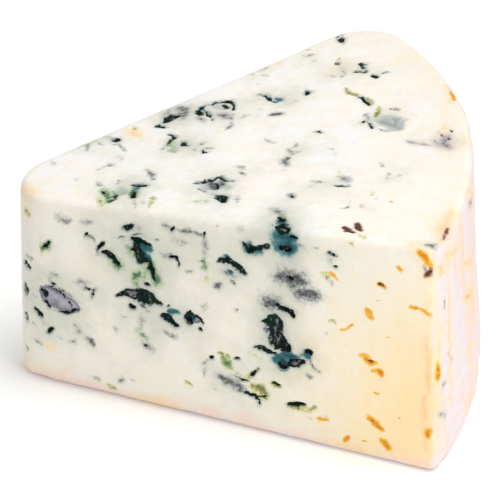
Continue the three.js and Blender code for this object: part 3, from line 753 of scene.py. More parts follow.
@dataclass(frozen=True)
class HiddenScatter:
    """How trails are strewn over the back cut, which faces away, in millimetres, shares and radians."""

    seed: int = 11
    count: int = 95
    nearest_tip: float = 12.0
    span: float = 78.0
    bias: tuple[float, float] = (1.5, 1.7)
    lowest: float = 4.0
    highest: float = 40.0
    rise: float = 0.07
    kinds: tuple[tuple[Mould, float], ...] = (
        (Mould.CREVICE, 0.34),
        (Mould.SMUDGE, 0.32),
        (Mould.TEAL, 0.08),
        (Mould.GREEN, 0.08),
        (Mould.OLIVE, 0.12),
        (Mould.SLATE, 0.06),
    )
    widths: tuple[float, float] = (0.35, 1.1)
    slate_widening: float = 1.5
    strengths: tuple[float, float] = (0.6, 1.0)
    most_strides: int = 3
    stride: float = 1.2
    stride_per_width: float = 1.2
    first_heading: tuple[float, float] = (-0.9, 0.6)
    turn: float = 0.5
    wide: float = 0.75
    teal_lining: tuple[float, float] = (1.15, 0.7)
    smudge_lining: tuple[float, float] = (1.7, 0.6)
    amber_count: int = 14
    amber_along: tuple[float, float] = (76.0, 96.0)
    amber_heights: tuple[float, float] = (3.0, 46.0)
    amber_widths: tuple[float, float] = (0.35, 1.0)
    amber_stride: float = 1.4
    amber_strength: float = 0.9

    def _wander(self, rng: np.random.Generator, start: np.ndarray, steps: int, stride: float) -> list[float]:
        """Walks a trail whose every stride turns a little from the last one.

        Args:
            rng: Source of the turns.
            start: Coordinates of its first point.
            steps: How many strides it takes.
            stride: Length of each.

        Returns:
            The two coordinates of each of its points, in a row.
        """
        heading = rng.uniform(*self.first_heading)
        path = [start]
        for _ in range(steps):
            heading += rng.normal(0.0, self.turn)
            path.append(path[-1] + stride * np.array([math.cos(heading), math.sin(heading)]))
        return [float(value) for value in np.concatenate(path)]

    def trails(self) -> dict[Mould, list[Trail]]:
        """Scatters trails over the back cut, thicker in number away from the rind.

        A trail starts at nearest_tip + span * b from the tip, with b from the beta distribution
        of the bias, and anywhere from lowest to highest + rise * that distance. A wide crevice
        gets a lining of teal at its start and of grey along its whole length, each given by a
        factor on its width and a strength.

        Returns:
            Trails by kind, in the back cut's own coordinates.
        """
        rng = np.random.default_rng(self.seed)
        kinds, odds = zip(*self.kinds)
        trails: dict[Mould, list[Trail]] = {kind: [] for kind in Mould}
        for _ in range(self.count):
            along = self.nearest_tip + self.span * rng.beta(*self.bias)
            start = np.array([along, rng.uniform(self.lowest, self.highest + self.rise * along)])
            kind = kinds[rng.choice(len(kinds), p=odds)]
            widening = self.slate_widening if kind is Mould.SLATE else 1.0
            width = float(rng.uniform(*self.widths) * widening)
            steps = int(rng.integers(1, self.most_strides + 1))
            path = self._wander(rng, start, steps, self.stride + self.stride_per_width * width)
            trails[kind].append((width, float(rng.uniform(*self.strengths)), *path))
            if kind is Mould.CREVICE and width > self.wide:
                factor, strength = self.teal_lining
                trails[Mould.TEAL].append((width * factor, strength, *path[:4]))
                factor, strength = self.smudge_lining
                trails[Mould.SMUDGE].append((width * factor, strength, *path))
        for _ in range(self.amber_count):
            start = np.array([rng.uniform(*self.amber_along), rng.uniform(*self.amber_heights)])
            path = self._wander(rng, start, 1, self.amber_stride)
            trails[Mould.AMBER].append((float(rng.uniform(*self.amber_widths)), self.amber_strength, *path))
        return trails


@dataclass
class MouldMap:
    """Trails of mould and cracks, and the fields that they leave on the skin."""

    form: WedgeForm
    scatter: HiddenScatter = HiddenScatter()
    seed: int = 11
    ragged: float = 0.5
    ragged_size: float = 2.6
    taper: float = 0.6
    spread: float = 1.15
    margin: float = 2.2
    far: float = -1.0
    haze_kinds: tuple[Mould, ...] = (Mould.CREVICE, Mould.TEAL, Mould.GREEN, Mould.SMUDGE, Mould.SLATE)
    haze_reach: float = 4.5
    haze_share: float = 0.12
    haze_batches: int = 12

    @staticmethod
    def _reach(points: np.ndarray, corners: np.ndarray) -> tuple[np.ndarray, np.ndarray]:
        """Finds the nearest place on a chain of straight lines.

        Args:
            points: Points on the skin.
            corners: Corners of the chain, in order.

        Returns:
            For each point its distance from the chain, and how far along the chain that is,
            from 0 to 1.
        """
        spans = np.diff(corners, axis=0)
        lengths = np.linalg.norm(spans, axis=1)
        passed = np.concatenate([[0.0], np.cumsum(lengths)])
        nearest, along = np.full(len(points), np.inf), np.zeros(len(points))
        for start, span, length, before in zip(corners, spans, lengths, passed):
            share = np.clip((points - start) @ span / max(float(span @ span), TINY), 0.0, 1.0)
            gap = np.linalg.norm(points - start - share[:, None] * span, axis=1)
            along = np.where(gap < nearest, (before + share * length) / max(passed[-1], TINY), along)
            nearest = np.minimum(nearest, gap)
        return nearest, along

    def _corners(self, face: Face, path: list[float]) -> np.ndarray:
        """A trail's points in space, from the two coordinates of each in a row."""
        return self.form.face_points(face, np.array(path[0::2]), np.array(path[1::2]))

    def _sets(self) -> dict[Face, dict[Mould, list[Trail] | tuple[Trail, ...]]]:
        """Every face's trails by kind."""
        placed = {Face.FRONT: FRONT_TRAILS, Face.TOP: TOP_TRAILS, Face.RIND: RIND_TRAILS}
        return {**placed, Face.BACK: self.scatter.trails()}

    def haze(self, vertices: np.ndarray) -> np.ndarray:
        """How mouldy the paste is round each vertex.

        Every corner of a grey, green or black trail adds its width times the haze's share and
        exp(-(distance / reach)^2), and the total is brought below 1 by 1 - exp(-total).

        Args:
            vertices: Vertices of the skin.

        Returns:
            Values from 0 to 1.
        """
        corners, widths = [], []
        for face, by_kind in self._sets().items():
            for width, _, *path in (trail for kind in self.haze_kinds for trail in by_kind.get(kind, ())):
                corners.append(self._corners(face, path))
                widths.append(np.full(len(path) // 2, self.haze_share * width))
        places, shares = np.concatenate(corners), np.concatenate(widths)
        totals = []
        for part in np.array_split(vertices, self.haze_batches):
            gap = (part ** 2).sum(axis=1)[:, None] + (places ** 2).sum(axis=1) - 2.0 * part @ places.T
            totals.append(np.exp(-gap / self.haze_reach ** 2) @ shares)
        return 1.0 - np.exp(-np.concatenate(totals))

    def fields(self, vertices: np.ndarray) -> dict[Mould, np.ndarray]:
        """Works out one field for each kind of mark.

        A trail's field is its strength less distance / half width. Its half width narrows
        towards both ends, most in a long and wide trail. A kind's field is the highest that
        any of its trails gives.
        Vertices are shifted by noise first, so that no trail has a straight or even edge.

        Args:
            vertices: Vertices of the skin.

        Returns:
            Fields from the far value up to 1, by kind.
        """
        noises = [LatticeNoise(self.seed + k) for k in (1, 2, 3)]
        shift = np.stack([noise.layered(vertices, self.ragged_size, 3) for noise in noises], axis=-1)
        moved = vertices + self.ragged * shift
        found = {kind: np.full(len(vertices), self.far) for kind in Mould}
        for face, by_kind in self._sets().items():
            for kind, trails in by_kind.items():
                for width, strength, *path in trails:
                    corners = self._corners(face, path)
                    width *= self.spread
                    low = corners.min(axis=0) - self.margin * width
                    high = corners.max(axis=0) + self.margin * width
                    near = np.flatnonzero(((moved > low) & (moved < high)).all(axis=1))
                    gap, along = self._reach(moved[near], corners)
                    length = np.linalg.norm(np.diff(corners, axis=0), axis=1).sum()
                    narrowing = self.taper * min(width, 1.0) * length / (length + 2.0 * width)
                    local_width = width * (1.0 - narrowing * (2.0 * along - 1.0) ** 2)
                    value = 1.0 - gap / local_width - (1.0 - strength)
                    found[kind][near] = np.maximum(found[kind][near], value)
        return found


@dataclass
class CheeseRelief:
    """Sinks the marks into the skin and gives paste and rind their own unevenness, all of it inwards."""

    form: WedgeForm
    seed: int = 40
    swell: float = 0.22
    swell_size: float = 13.0
    crumb: float = 0.10
    crumb_size: float = 2.4
    wrinkle: float = 0.40
    wrinkle_size: float = 6.0
    wrinkle_stretch: tuple[float, float, float] = (1.0, 1.0, 1.8)
    rough_size: float = 1.4
    pocket_rise: tuple[float, float] = (-0.05, 0.75)
    pocket_share: float = 0.8
    pocket_roughness: float = 0.45
    flat_foot: float = 1.5
    edge_size: float = 5.0
    rim_fade: tuple[float, float] = (1.6, 0.6)
    rim_raggedness: float = 0.5
    top_fade: tuple[float, float] = (0.85, 0.6)
    base_fade: tuple[float, float] = (1.3, 0.5)
    base_raggedness: float = 0.35

    def rind_share(self, vertices: np.ndarray, outward: np.ndarray) -> np.ndarray:
        """1 on the rind and on the base, which was the wheel's flat rind, and 0 on the cuts.

        Args:
            vertices: Vertices of the smooth skin.
            outward: Their outward directions.

        Returns:
            Shares from 0 to 1, with a ragged border.
        """
        reach = np.linalg.norm(vertices[:, :2], axis=1)
        rim = self.form.rim(vertices[:, 2]) + self.form.rind_shift(vertices)
        shape = LatticeNoise(self.seed).layered(vertices, self.edge_size, 3)
        side = smooth_step(*self.rim_fade, rim - reach + self.rim_raggedness * shape)
        side *= smooth_step(*self.top_fade, outward[:, 2])
        under = smooth_step(*self.base_fade, vertices[:, 2] + self.base_raggedness * shape)
        return np.maximum(side, under)

    def apply(self, vertices: np.ndarray, outward: np.ndarray, marks: dict[Mould, np.ndarray]) -> np.ndarray:
        """Moves each vertex inwards by its own depth.

        Depth is a slow swell, plus fine crumb on the cuts and wrinkles on the rind, plus the
        deepest of the pockets that the marks make there. A pocket is its kind's depth, risen
        with the field, times share + roughness * noise. The foot of the wedge stays flat.

        Args:
            vertices: Vertices of the skin.
            outward: Their outward directions.
            marks: Fields of the marks, by kind.

        Returns:
            The moved vertices.
        """
        rind = self.rind_share(vertices, outward)
        slow = 0.5 + 0.5 * LatticeNoise(self.seed + 1).layered(vertices, self.swell_size, 2)
        fine = np.abs(LatticeNoise(self.seed + 2).layered(vertices, self.crumb_size, 3))
        stretched = vertices * self.wrinkle_stretch
        folds = np.abs(LatticeNoise(self.seed + 3).layered(stretched, self.wrinkle_size, 3))
        rough = LatticeNoise(self.seed + 4).layered(vertices, self.rough_size, 2)
        pocket = np.zeros(len(vertices))
        for kind, value in marks.items():
            depth = POCKET_DEPTH[kind] * smooth_step(*self.pocket_rise, value)
            pocket = np.maximum(pocket, depth * (self.pocket_share + self.pocket_roughness * rough))
        depth = (
            self.swell * slow
            + self.crumb * fine * (1.0 - rind)
            + self.wrinkle * folds * rind
            + pocket
        )
        lifted = smooth_step(0.0, self.flat_foot, vertices[:, 2])
        return vertices - outward * (np.clip(depth, 0.0, None) * lifted)[:, None]


@dataclass(frozen=True)
class Tones:
    """Colours of the cheese, as red, green and blue from 0 to 255."""

    ivory: tuple[int, int, int] = (252, 247, 240)
    milk: tuple[int, int, int] = (249, 248, 245)
    cream: tuple[int, int, int] = (250, 242, 223)
    # Darker, duller tone laid over the upright cuts as painted shade.
    upright_shade_tone: tuple[int, int, int] = (231, 225, 197)
    hazed: tuple[int, int, int] = (212, 213, 197)
    butter: tuple[int, int, int] = (255, 226, 172)
    blush: tuple[int, int, int] = (252, 219, 205)
    rind_pale: tuple[int, int, int] = (239, 227, 228)
    rind_peach: tuple[int, int, int] = (251, 220, 192)
    halo: tuple[int, int, int] = (178, 190, 184)
    # Near-black crevice tone: partly the dark mould lining, partly painted shade inside the sunk pockets.
    black: tuple[int, int, int] = (3, 5, 6)
    bottle: tuple[int, int, int] = (6, 36, 28)
    umber: tuple[int, int, int] = (78, 36, 22)
    ribs: tuple[int, int, int] = (146, 144, 148)
    teal_dark: tuple[int, int, int] = (2, 44, 54)
    teal: tuple[int, int, int] = (32, 112, 120)
    green: tuple[int, int, int] = (158, 184, 132)
    green_dark: tuple[int, int, int] = (16, 88, 50)
    olive: tuple[int, int, int] = (198, 200, 118)
    olive_dark: tuple[int, int, int] = (88, 98, 34)
    slate: tuple[int, int, int] = (180, 176, 188)
    # Darker rim tone of slate cavities, painted shade at the cavity's edge; the paler slate is the floor's
    # own grey-lilac.
    slate_painted_rim_shade: tuple[int, int, int] = (128, 124, 140)
    ash: tuple[int, int, int] = (196, 202, 196)
    ash_dark: tuple[int, int, int] = (148, 150, 144)
    mauve: tuple[int, int, int] = (214, 194, 200)
    mauve_dark: tuple[int, int, int] = (158, 128, 138)
    smudge: tuple[int, int, int] = (188, 190, 184)
    smudge_dark: tuple[int, int, int] = (70, 76, 78)
    amber: tuple[int, int, int] = (222, 132, 4)
    gold: tuple[int, int, int] = (244, 186, 42)
    rust: tuple[int, int, int] = (190, 112, 72)
    rust_dark: tuple[int, int, int] = (76, 40, 34)
    stain: tuple[int, int, int] = (252, 225, 182)
    stain_deep: tuple[int, int, int] = (250, 198, 142)


def linear(tone: tuple[int, int, int]) -> tuple[float, float, float, float]:
    """Turns a colour into the linear one that a shader socket takes, along the sRGB curve.

    Args:
        tone: Red, green and blue from 0 to 255.

    Returns:
        Red, green, blue and an opacity of 1, from 0 to 1.
    """
    shares = [part / 255.0 for part in tone]
    values = [s / 12.92 if s <= 0.04045 else ((s + 0.055) / 1.055) ** 2.4 for s in shares]
    return (values[0], values[1], values[2], 1.0)


# A mix node has inputs and outputs for every kind of data: these are the places of those for colours.
COLOUR_MIX_INPUTS = (0, 6, 7)
COLOUR_MIX_OUTPUT = 2
NOISE_MIDDLE = 0.5
NOISE_ROUGHNESS = 0.6
MARK_NOISE_DETAIL = 4.0
MARK_NOISE_ROUGHNESS = 0.65


def linked(name: str, data: bpy.types.ID) -> bpy.types.Object:
    """Makes an object of some data and puts it in the scene.

    Args:
        name: Name of the object.
        data: Its mesh, light or camera.

    Returns:
        The object.
    """
    made = bpy.data.objects.new(name, data)
    bpy.context.scene.collection.objects.link(made)
    return made


class NodeTree:
    """Short ways to add and join nodes in a material or a node group."""

    def __init__(self, tree: bpy.types.NodeTree) -> None:
        """Keeps the tree that nodes are added to."""
        self.tree = tree

    def add(self, kind: str, **inputs: object) -> bpy.types.Node:
        """Adds a node and sets or joins its inputs.

        Args:
            kind: Node type without its ShaderNode prefix.
            **inputs: A socket to join, or a value to set, by input name with _ for a space.

        Returns:
            The new node.
        """
        node = self.tree.nodes.new("ShaderNode" + kind)
        self.feed_all(node, {name.replace("_", " "): value for name, value in inputs.items()})
        return node

    def feed(self, socket: bpy.types.NodeSocket, value: object) -> None:
        """Joins a socket to another, or sets its value.

        Args:
            socket: Input to join or set.
            value: An output socket, or a plain value.
        """
        if isinstance(value, bpy.types.NodeSocket):
            self.tree.links.new(value, socket)
        else:
            socket.default_value = value

    def feed_all(self, node: bpy.types.Node, given: dict[str, object]) -> None:
        """Joins or sets inputs of a node by their names."""
        for name, value in given.items():
            self.feed(node.inputs[name], value)

    def math(self, operation: str, *values: object) -> bpy.types.NodeSocket:
        """Adds a math node.

        Args:
            operation: What it works out, by Blender's name.
            *values: One, two or three sockets or numbers.

        Returns:
            Its result.
        """
        node = self.tree.nodes.new("ShaderNodeMath")
        node.operation = operation
        for socket, value in zip(node.inputs, values):
            self.feed(socket, value)
        return node.outputs[0]

    def rise(self, value: object, low: object, high: object, top: float = 1.0) -> bpy.types.NodeSocket:
        """Adds a smooth rise from 0 at low to top at high.

        Args:
            value: What it is a function of.
            low: Where the rise starts.
            high: Where it ends.
            top: How high it goes.

        Returns:
            The risen value.
        """
        node = self.tree.nodes.new("ShaderNodeMapRange")
        node.interpolation_type = "SMOOTHSTEP"
        self.feed_all(node, {"Value": value, "From Min": low, "From Max": high, "To Max": top})
        return node.outputs["Result"]

    def mix(self, share: object, first: object, second: object) -> bpy.types.NodeSocket:
        """Adds a blend of two colours.

        Args:
            share: How much of the second colour there is.
            first: The first colour.
            second: The second colour.

        Returns:
            The blended colour.
        """
        node = self.tree.nodes.new("ShaderNodeMix")
        node.data_type = "RGBA"
        for place, part in zip(COLOUR_MIX_INPUTS, (share, first, second)):
            self.feed(node.inputs[place], part)
        return node.outputs[COLOUR_MIX_OUTPUT]

    def noise(self, coords: object, size: float, detail: float = 3.0) -> bpy.types.NodeSocket:
        """Noise whose blotches are about the given size across, in metres."""
        given = {"Vector": coords, "Scale": 1.0 / size, "Detail": detail, "Roughness": NOISE_ROUGHNESS}
        return self.add("TexNoise", **given).outputs["Fac"]

    def swing(self, coords: object, size: float, detail: float = 3.0) -> bpy.types.NodeSocket:
        """Noise about 0 instead of about its own middle."""
        return self.math("SUBTRACT", self.noise(coords, size, detail), NOISE_MIDDLE)

    def attribute(self, name: str) -> bpy.types.NodeSocket:
        """Reads a number that the skin carries at each vertex.

        Args:
            name: Name of the attribute.

        Returns:
            The number.
        """
        node = self.tree.nodes.new("ShaderNodeAttribute")
        node.attribute_name = name
        return node.outputs["Fac"]


def mark_group() -> bpy.types.ShaderNodeTree:
    """Builds the group that turns a field into a mark with a ragged, speckled edge.

    Returns:
        A group whose Mask rises from 0 to 1 as the field, plus Ragged times noise with Grain
        for its scale, passes from Low to High. Its Core does so from Core Low to Core High.
    """
    group = bpy.data.node_groups.new("mark", "ShaderNodeTree")
    group.interface.new_socket("Field", in_out="INPUT", socket_type="NodeSocketFloat")
    group.interface.new_socket("Vector", in_out="INPUT", socket_type="NodeSocketVector")
    for name in ("Grain", "Ragged", "Low", "High", "Core Low", "Core High"):
        group.interface.new_socket(name, in_out="INPUT", socket_type="NodeSocketFloat")
    for name in ("Mask", "Core"):
        group.interface.new_socket(name, in_out="OUTPUT", socket_type="NodeSocketFloat")
    tree = NodeTree(group)
    given = group.nodes.new("NodeGroupInput").outputs
    result = group.nodes.new("NodeGroupOutput")
    noise = tree.add("TexNoise", Vector=given["Vector"], Scale=given["Grain"])
    tree.feed(noise.inputs["Detail"], MARK_NOISE_DETAIL)
    tree.feed(noise.inputs["Roughness"], MARK_NOISE_ROUGHNESS)
    swing = tree.math("SUBTRACT", noise.outputs["Fac"], NOISE_MIDDLE)
    ragged = tree.math("MULTIPLY_ADD", swing, given["Ragged"], given["Field"])
    tree.feed(result.inputs["Mask"], tree.rise(ragged, given["Low"], given["High"]))
    tree.feed(result.inputs["Core"], tree.rise(ragged, given["Core Low"], given["Core High"]))
    return group


@dataclass(frozen=True)
class MarkFinish:
    """How one kind of mark breaks up and covers the paste, and its tones at the edge and in the core.

    The grain is the size of its speckles in metres, ragged is how far noise swings its field,
    and rise and core are the fields between which the mark and its core come in.
    """

    kind: Mould
    grain: float
    ragged: float
    rise: tuple[float, float]
    core: tuple[float, float]
    cover: float
    tones: tuple[str, str]


MARK_FINISHES = (
    MarkFinish(Mould.STAIN, 4.0 * MM, 0.9, (-1.0, 0.9), (0.1, 1.2), 0.9, ("stain", "stain_deep")),
    MarkFinish(Mould.MAUVE, 1.4 * MM, 1.2, (-0.8, 0.9), (0.1, 1.0), 0.75, ("mauve", "mauve_dark")),
    MarkFinish(Mould.ASH, 1.3 * MM, 0.8, (-0.35, 0.25), (0.2, 1.2), 0.95, ("ash", "ash_dark")),
    MarkFinish(Mould.SMUDGE, 0.9 * MM, 1.9, (-0.85, 0.75), (-0.1, 0.95), 0.95, ("smudge", "smudge_dark")),
    # Slate runs dark at its edge and pale in its core: the dark rim is painted shade round the cavity.
    MarkFinish(Mould.SLATE, 1.2 * MM, 1.0, (-0.2, 0.1), (0.2, 0.8), 0.95, ("slate_painted_rim_shade", "slate")),
    MarkFinish(Mould.OLIVE, 0.8 * MM, 2.0, (-0.4, 0.6), (0.2, 0.9), 0.85, ("olive", "olive_dark")),
    MarkFinish(Mould.GREEN, 0.9 * MM, 2.0, (-0.7, 0.8), (0.1, 0.9), 0.85, ("green", "green_dark")),
    MarkFinish(Mould.AMBER, 1.1 * MM, 1.4, (-0.15, 0.3), (0.2, 0.8), 0.95, ("gold", "amber")),
    MarkFinish(Mould.RUST, 1.0 * MM, 1.4, (-0.3, 0.4), (-0.15, 0.5), 0.95, ("rust", "rust_dark")),
    MarkFinish(Mould.TEAL, 1.1 * MM, 1.2, (-0.35, 0.35), (0.2, 1.0), 0.95, ("teal", "teal_dark")),
)
# Crevices are painted near-black: partly the dark mould lining, partly painted shade of the sunk pockets.
CREVICES = MarkFinish(Mould.CREVICE, 0.9 * MM, 1.4, (-0.05, 0.35), (0.45, 0.95), 0.99, ("black", "ribs"))


@dataclass(frozen=True)
class Cloud:
    """Noise made into soft blotches: its size in metres, its detail, and where and how high it rises."""

    size: float
    detail: float
    rise: tuple[float, float]
    top: float = 1.0


@dataclass(frozen=True)
class Wash:
    """A tone laid where a field of the skin, swung by uneven noise, rises from low to high."""

    source: str
    uneven: float
    rise: tuple[float, float]
    cover: float
    tone: str


WASHES = (
    Wash("haze", 0.9, (0.08, 0.95), 0.95, "hazed"),
    Wash("warm", 0.3, (0.06, 0.95), 0.95, "butter"),
    Wash("blush", 1.6, (0.3, 1.1), 0.8, "blush"),
)


@dataclass(frozen=True)
class Surface:
    """How the cheese takes light: grain, roughness, shine and the light that sinks in, in metres."""

    fine_grain: float = 0.55 * MM
    fine_detail: float = 4.0
    broad_grain: float = 2.2 * MM
    broad_share: float = 0.6
    bump: float = 0.35
    bump_depth: float = 0.25 * MM
    roughness: float = 0.42
    grain_rise: tuple[float, float] = (0.2, 0.8)
    grain_dulling: float = 0.2
    crevice_dulling: float = 0.2
    shine: float = 0.08
    sinking: float = 0.12
    sinking_by_colour: tuple[float, float, float] = (1.0, 0.8, 0.55)
    sinking_depth: float = 0.8 * MM


class CheeseFinish:
    """Material of the whole wedge: ivory paste, its mould, and the pale rind."""

    tones: Tones = Tones()
    surface: Surface = Surface()
    milk_clouds: Cloud = Cloud(9.0 * MM, 2.0, (0.42, 0.62))
    cream_curds: Cloud = Cloud(4.2 * MM, 3.0, (0.45, 0.68), 0.55)
    rind_streaks: Cloud = Cloud(5.5 * MM, 4.0, (0.44, 0.66))
    bottle_drift: Cloud = Cloud(14.0 * MM, 2.0, (0.42, 0.58))
    cavity_ribs: Cloud = Cloud(0.8 * MM, 2.0, (0.51, 0.63), 0.8)
    # How far the painted shade on the upright cuts goes towards its tone.
    upright_shade_cover: float = 0.35
    uneven_size: float = 6.0 * MM
    upright_stretch: tuple[float, float, float] = (1.0, 1.0, 0.3)
    halo_size: float = 1.6 * MM
    halo_detail: float = 4.0
    halo_rise: tuple[float, float] = (-1.0, 0.2)
    halo_cover: float = 0.6
    umber_rise: tuple[float, float] = (0.25, 0.6)

    def __init__(self) -> None:
        """Starts an empty material."""
        self.material = bpy.data.materials.new("blue_cheese")
        self.material.use_nodes = True
        self.material.node_tree.nodes.clear()
        self.tree = NodeTree(self.material.node_tree)
        self.coords = self.tree.add("TexCoord").outputs["Object"]
        stretched = self.tree.add("Mapping", Vector=self.coords, Scale=self.upright_stretch)
        self.upright = stretched.outputs["Vector"]
        self.group = mark_group()

    def _tone(self, name: str) -> tuple[float, float, float, float]:
        """A named tone as a linear colour."""
        return linear(getattr(self.tones, name))

    def _cloud(self, cloud: Cloud, coords: bpy.types.NodeSocket) -> bpy.types.NodeSocket:
        """Blotches of noise, from 0 between them to the cloud's top in them."""
        return self.tree.rise(self.tree.noise(coords, cloud.size, cloud.detail), *cloud.rise, cloud.top)

    def _mark(self, finish: MarkFinish) -> tuple[bpy.types.NodeSocket, bpy.types.NodeSocket]:
        """Adds one kind of mark.

        Args:
            finish: The kind's finish.

        Returns:
            Its mask, already scaled by its cover, and its core.
        """
        tree = self.tree
        node = tree.tree.nodes.new("ShaderNodeGroup")
        node.node_tree = self.group
        given = {
            "Field": tree.attribute(finish.kind.value),
            "Vector": self.coords,
            "Grain": 1.0 / finish.grain,
            "Ragged": finish.ragged,
            "Low": finish.rise[0],
            "High": finish.rise[1],
            "Core Low": finish.core[0],
            "Core High": finish.core[1],
        }
        tree.feed_all(node, given)
        return tree.math("MULTIPLY", node.outputs["Mask"], finish.cover), node.outputs["Core"]

    def _paste(self) -> bpy.types.NodeSocket:
        """Clouds ivory paste with milk and cream, darkens it on the upright cuts as painted shade, and lays
        the washes.

        Returns:
            The paste's colour.
        """
        tree = self.tree
        milky = self._cloud(self.milk_clouds, self.coords)
        colour = tree.mix(milky, self._tone("ivory"), self._tone("milk"))
        colour = tree.mix(self._cloud(self.cream_curds, self.coords), colour, self._tone("cream"))
        # Painted shade: the upright cuts are blended towards a darker tone, so that they look less lit than
        # the top.
        upright_shade = tree.math("MULTIPLY", tree.attribute("cut"), self.upright_shade_cover)
        colour = tree.mix(upright_shade, colour, self._tone("upright_shade_tone"))
        uneven = tree.swing(self.coords, self.uneven_size)
        for wash in WASHES:
            value = tree.math("MULTIPLY_ADD", uneven, wash.uneven, tree.attribute(wash.source))
            colour = tree.mix(tree.rise(value, *wash.rise, wash.cover), colour, self._tone(wash.tone))
        return colour

    def _rind(self, colour: bpy.types.NodeSocket) -> bpy.types.NodeSocket:
        """Lays the pale, peach-streaked rind.

        Args:
            colour: Colour of the paste under it.

        Returns:
            The colour of both.
        """
        streaks = self._cloud(self.rind_streaks, self.upright)
        skin = self.tree.mix(streaks, self._tone("rind_pale"), self._tone("rind_peach"))
        return self.tree.mix(self.tree.attribute("rind"), colour, skin)

    def _halo(self, colour: bpy.types.NodeSocket) -> bpy.types.NodeSocket:
        """Greys the paste softly round every crevice and teal patch.

        Args:
            colour: Colour before the halo.

        Returns:
            The greyed colour.
        """
        tree = self.tree
        nearest = tree.math("MAXIMUM", tree.attribute(Mould.CREVICE.value), tree.attribute(Mould.TEAL.value))
        cloudy = tree.math("ADD", tree.swing(self.coords, self.halo_size, self.halo_detail), nearest)
        return tree.mix(tree.rise(cloudy, *self.halo_rise, self.halo_cover), colour, self._tone("halo"))

    def _crevices(self, colour: bpy.types.NodeSocket) -> tuple[bpy.types.NodeSocket, bpy.types.NodeSocket]:
        """Lays the crevices, near-black from dark mould and from painted shade deep in the pockets,
        green in places and umber near the rind, with grey ribs in the widest.

        Args:
            colour: Colour of everything under them.

        Returns:
            The darkened colour and the crevices' mask.
        """
        tree = self.tree
        mask, core = self._mark(CREVICES)
        black, ribs = (self._tone(name) for name in CREVICES.tones)
        # Near-black here is partly dark mould and partly painted shade inside the pockets.
        dark = tree.mix(self._cloud(self.bottle_drift, self.coords), black, self._tone("bottle"))
        dark = tree.mix(tree.rise(tree.attribute("warm"), *self.umber_rise), dark, self._tone("umber"))
        ribbed = tree.math("MULTIPLY", core, self._cloud(self.cavity_ribs, self.upright))
        dark = tree.mix(ribbed, dark, ribs)
        return tree.mix(mask, colour, dark), mask

    def build(self) -> bpy.types.Material:
        """Joins paste, rind and marks to the shader.

        Returns:
            The finished material.
        """
        tree, surface = self.tree, self.surface
        colour = self._halo(self._rind(self._paste()))
        for finish in MARK_FINISHES:
            mask, core = self._mark(finish)
            edge, middle = (self._tone(name) for name in finish.tones)
            colour = tree.mix(mask, colour, tree.mix(core, edge, middle))
        colour, dark = self._crevices(colour)
        fine = tree.noise(self.coords, surface.fine_grain, surface.fine_detail)
        broad = tree.noise(self.coords, surface.broad_grain)
        height = tree.math("MULTIPLY_ADD", broad, surface.broad_share, fine)
        bump = tree.add("Bump", Strength=surface.bump, Distance=surface.bump_depth, Height=height)
        grainy = tree.rise(fine, *surface.grain_rise, surface.grain_dulling)
        dull = tree.math("MULTIPLY_ADD", dark, surface.crevice_dulling, grainy)
        given = {
            "Base Color": colour,
            "Roughness": tree.math("ADD", dull, surface.roughness),
            "Normal": bump.outputs["Normal"],
            "Specular IOR Level": surface.shine,
            "Subsurface Weight": surface.sinking,
            "Subsurface Radius": surface.sinking_by_colour,
            "Subsurface Scale": surface.sinking_depth,
        }
        shader = tree.add("BsdfPrincipled")
        tree.feed_all(shader, given)
        tree.add("OutputMaterial", Surface=shader.outputs["BSDF"])
        return self.material


@dataclass(frozen=True)
class WarmSpot:
    """A spot of warm paste: its middle and reach in millimetres, and its strength."""

    place: tuple[float, float, float]
    reach: float
    strength: float


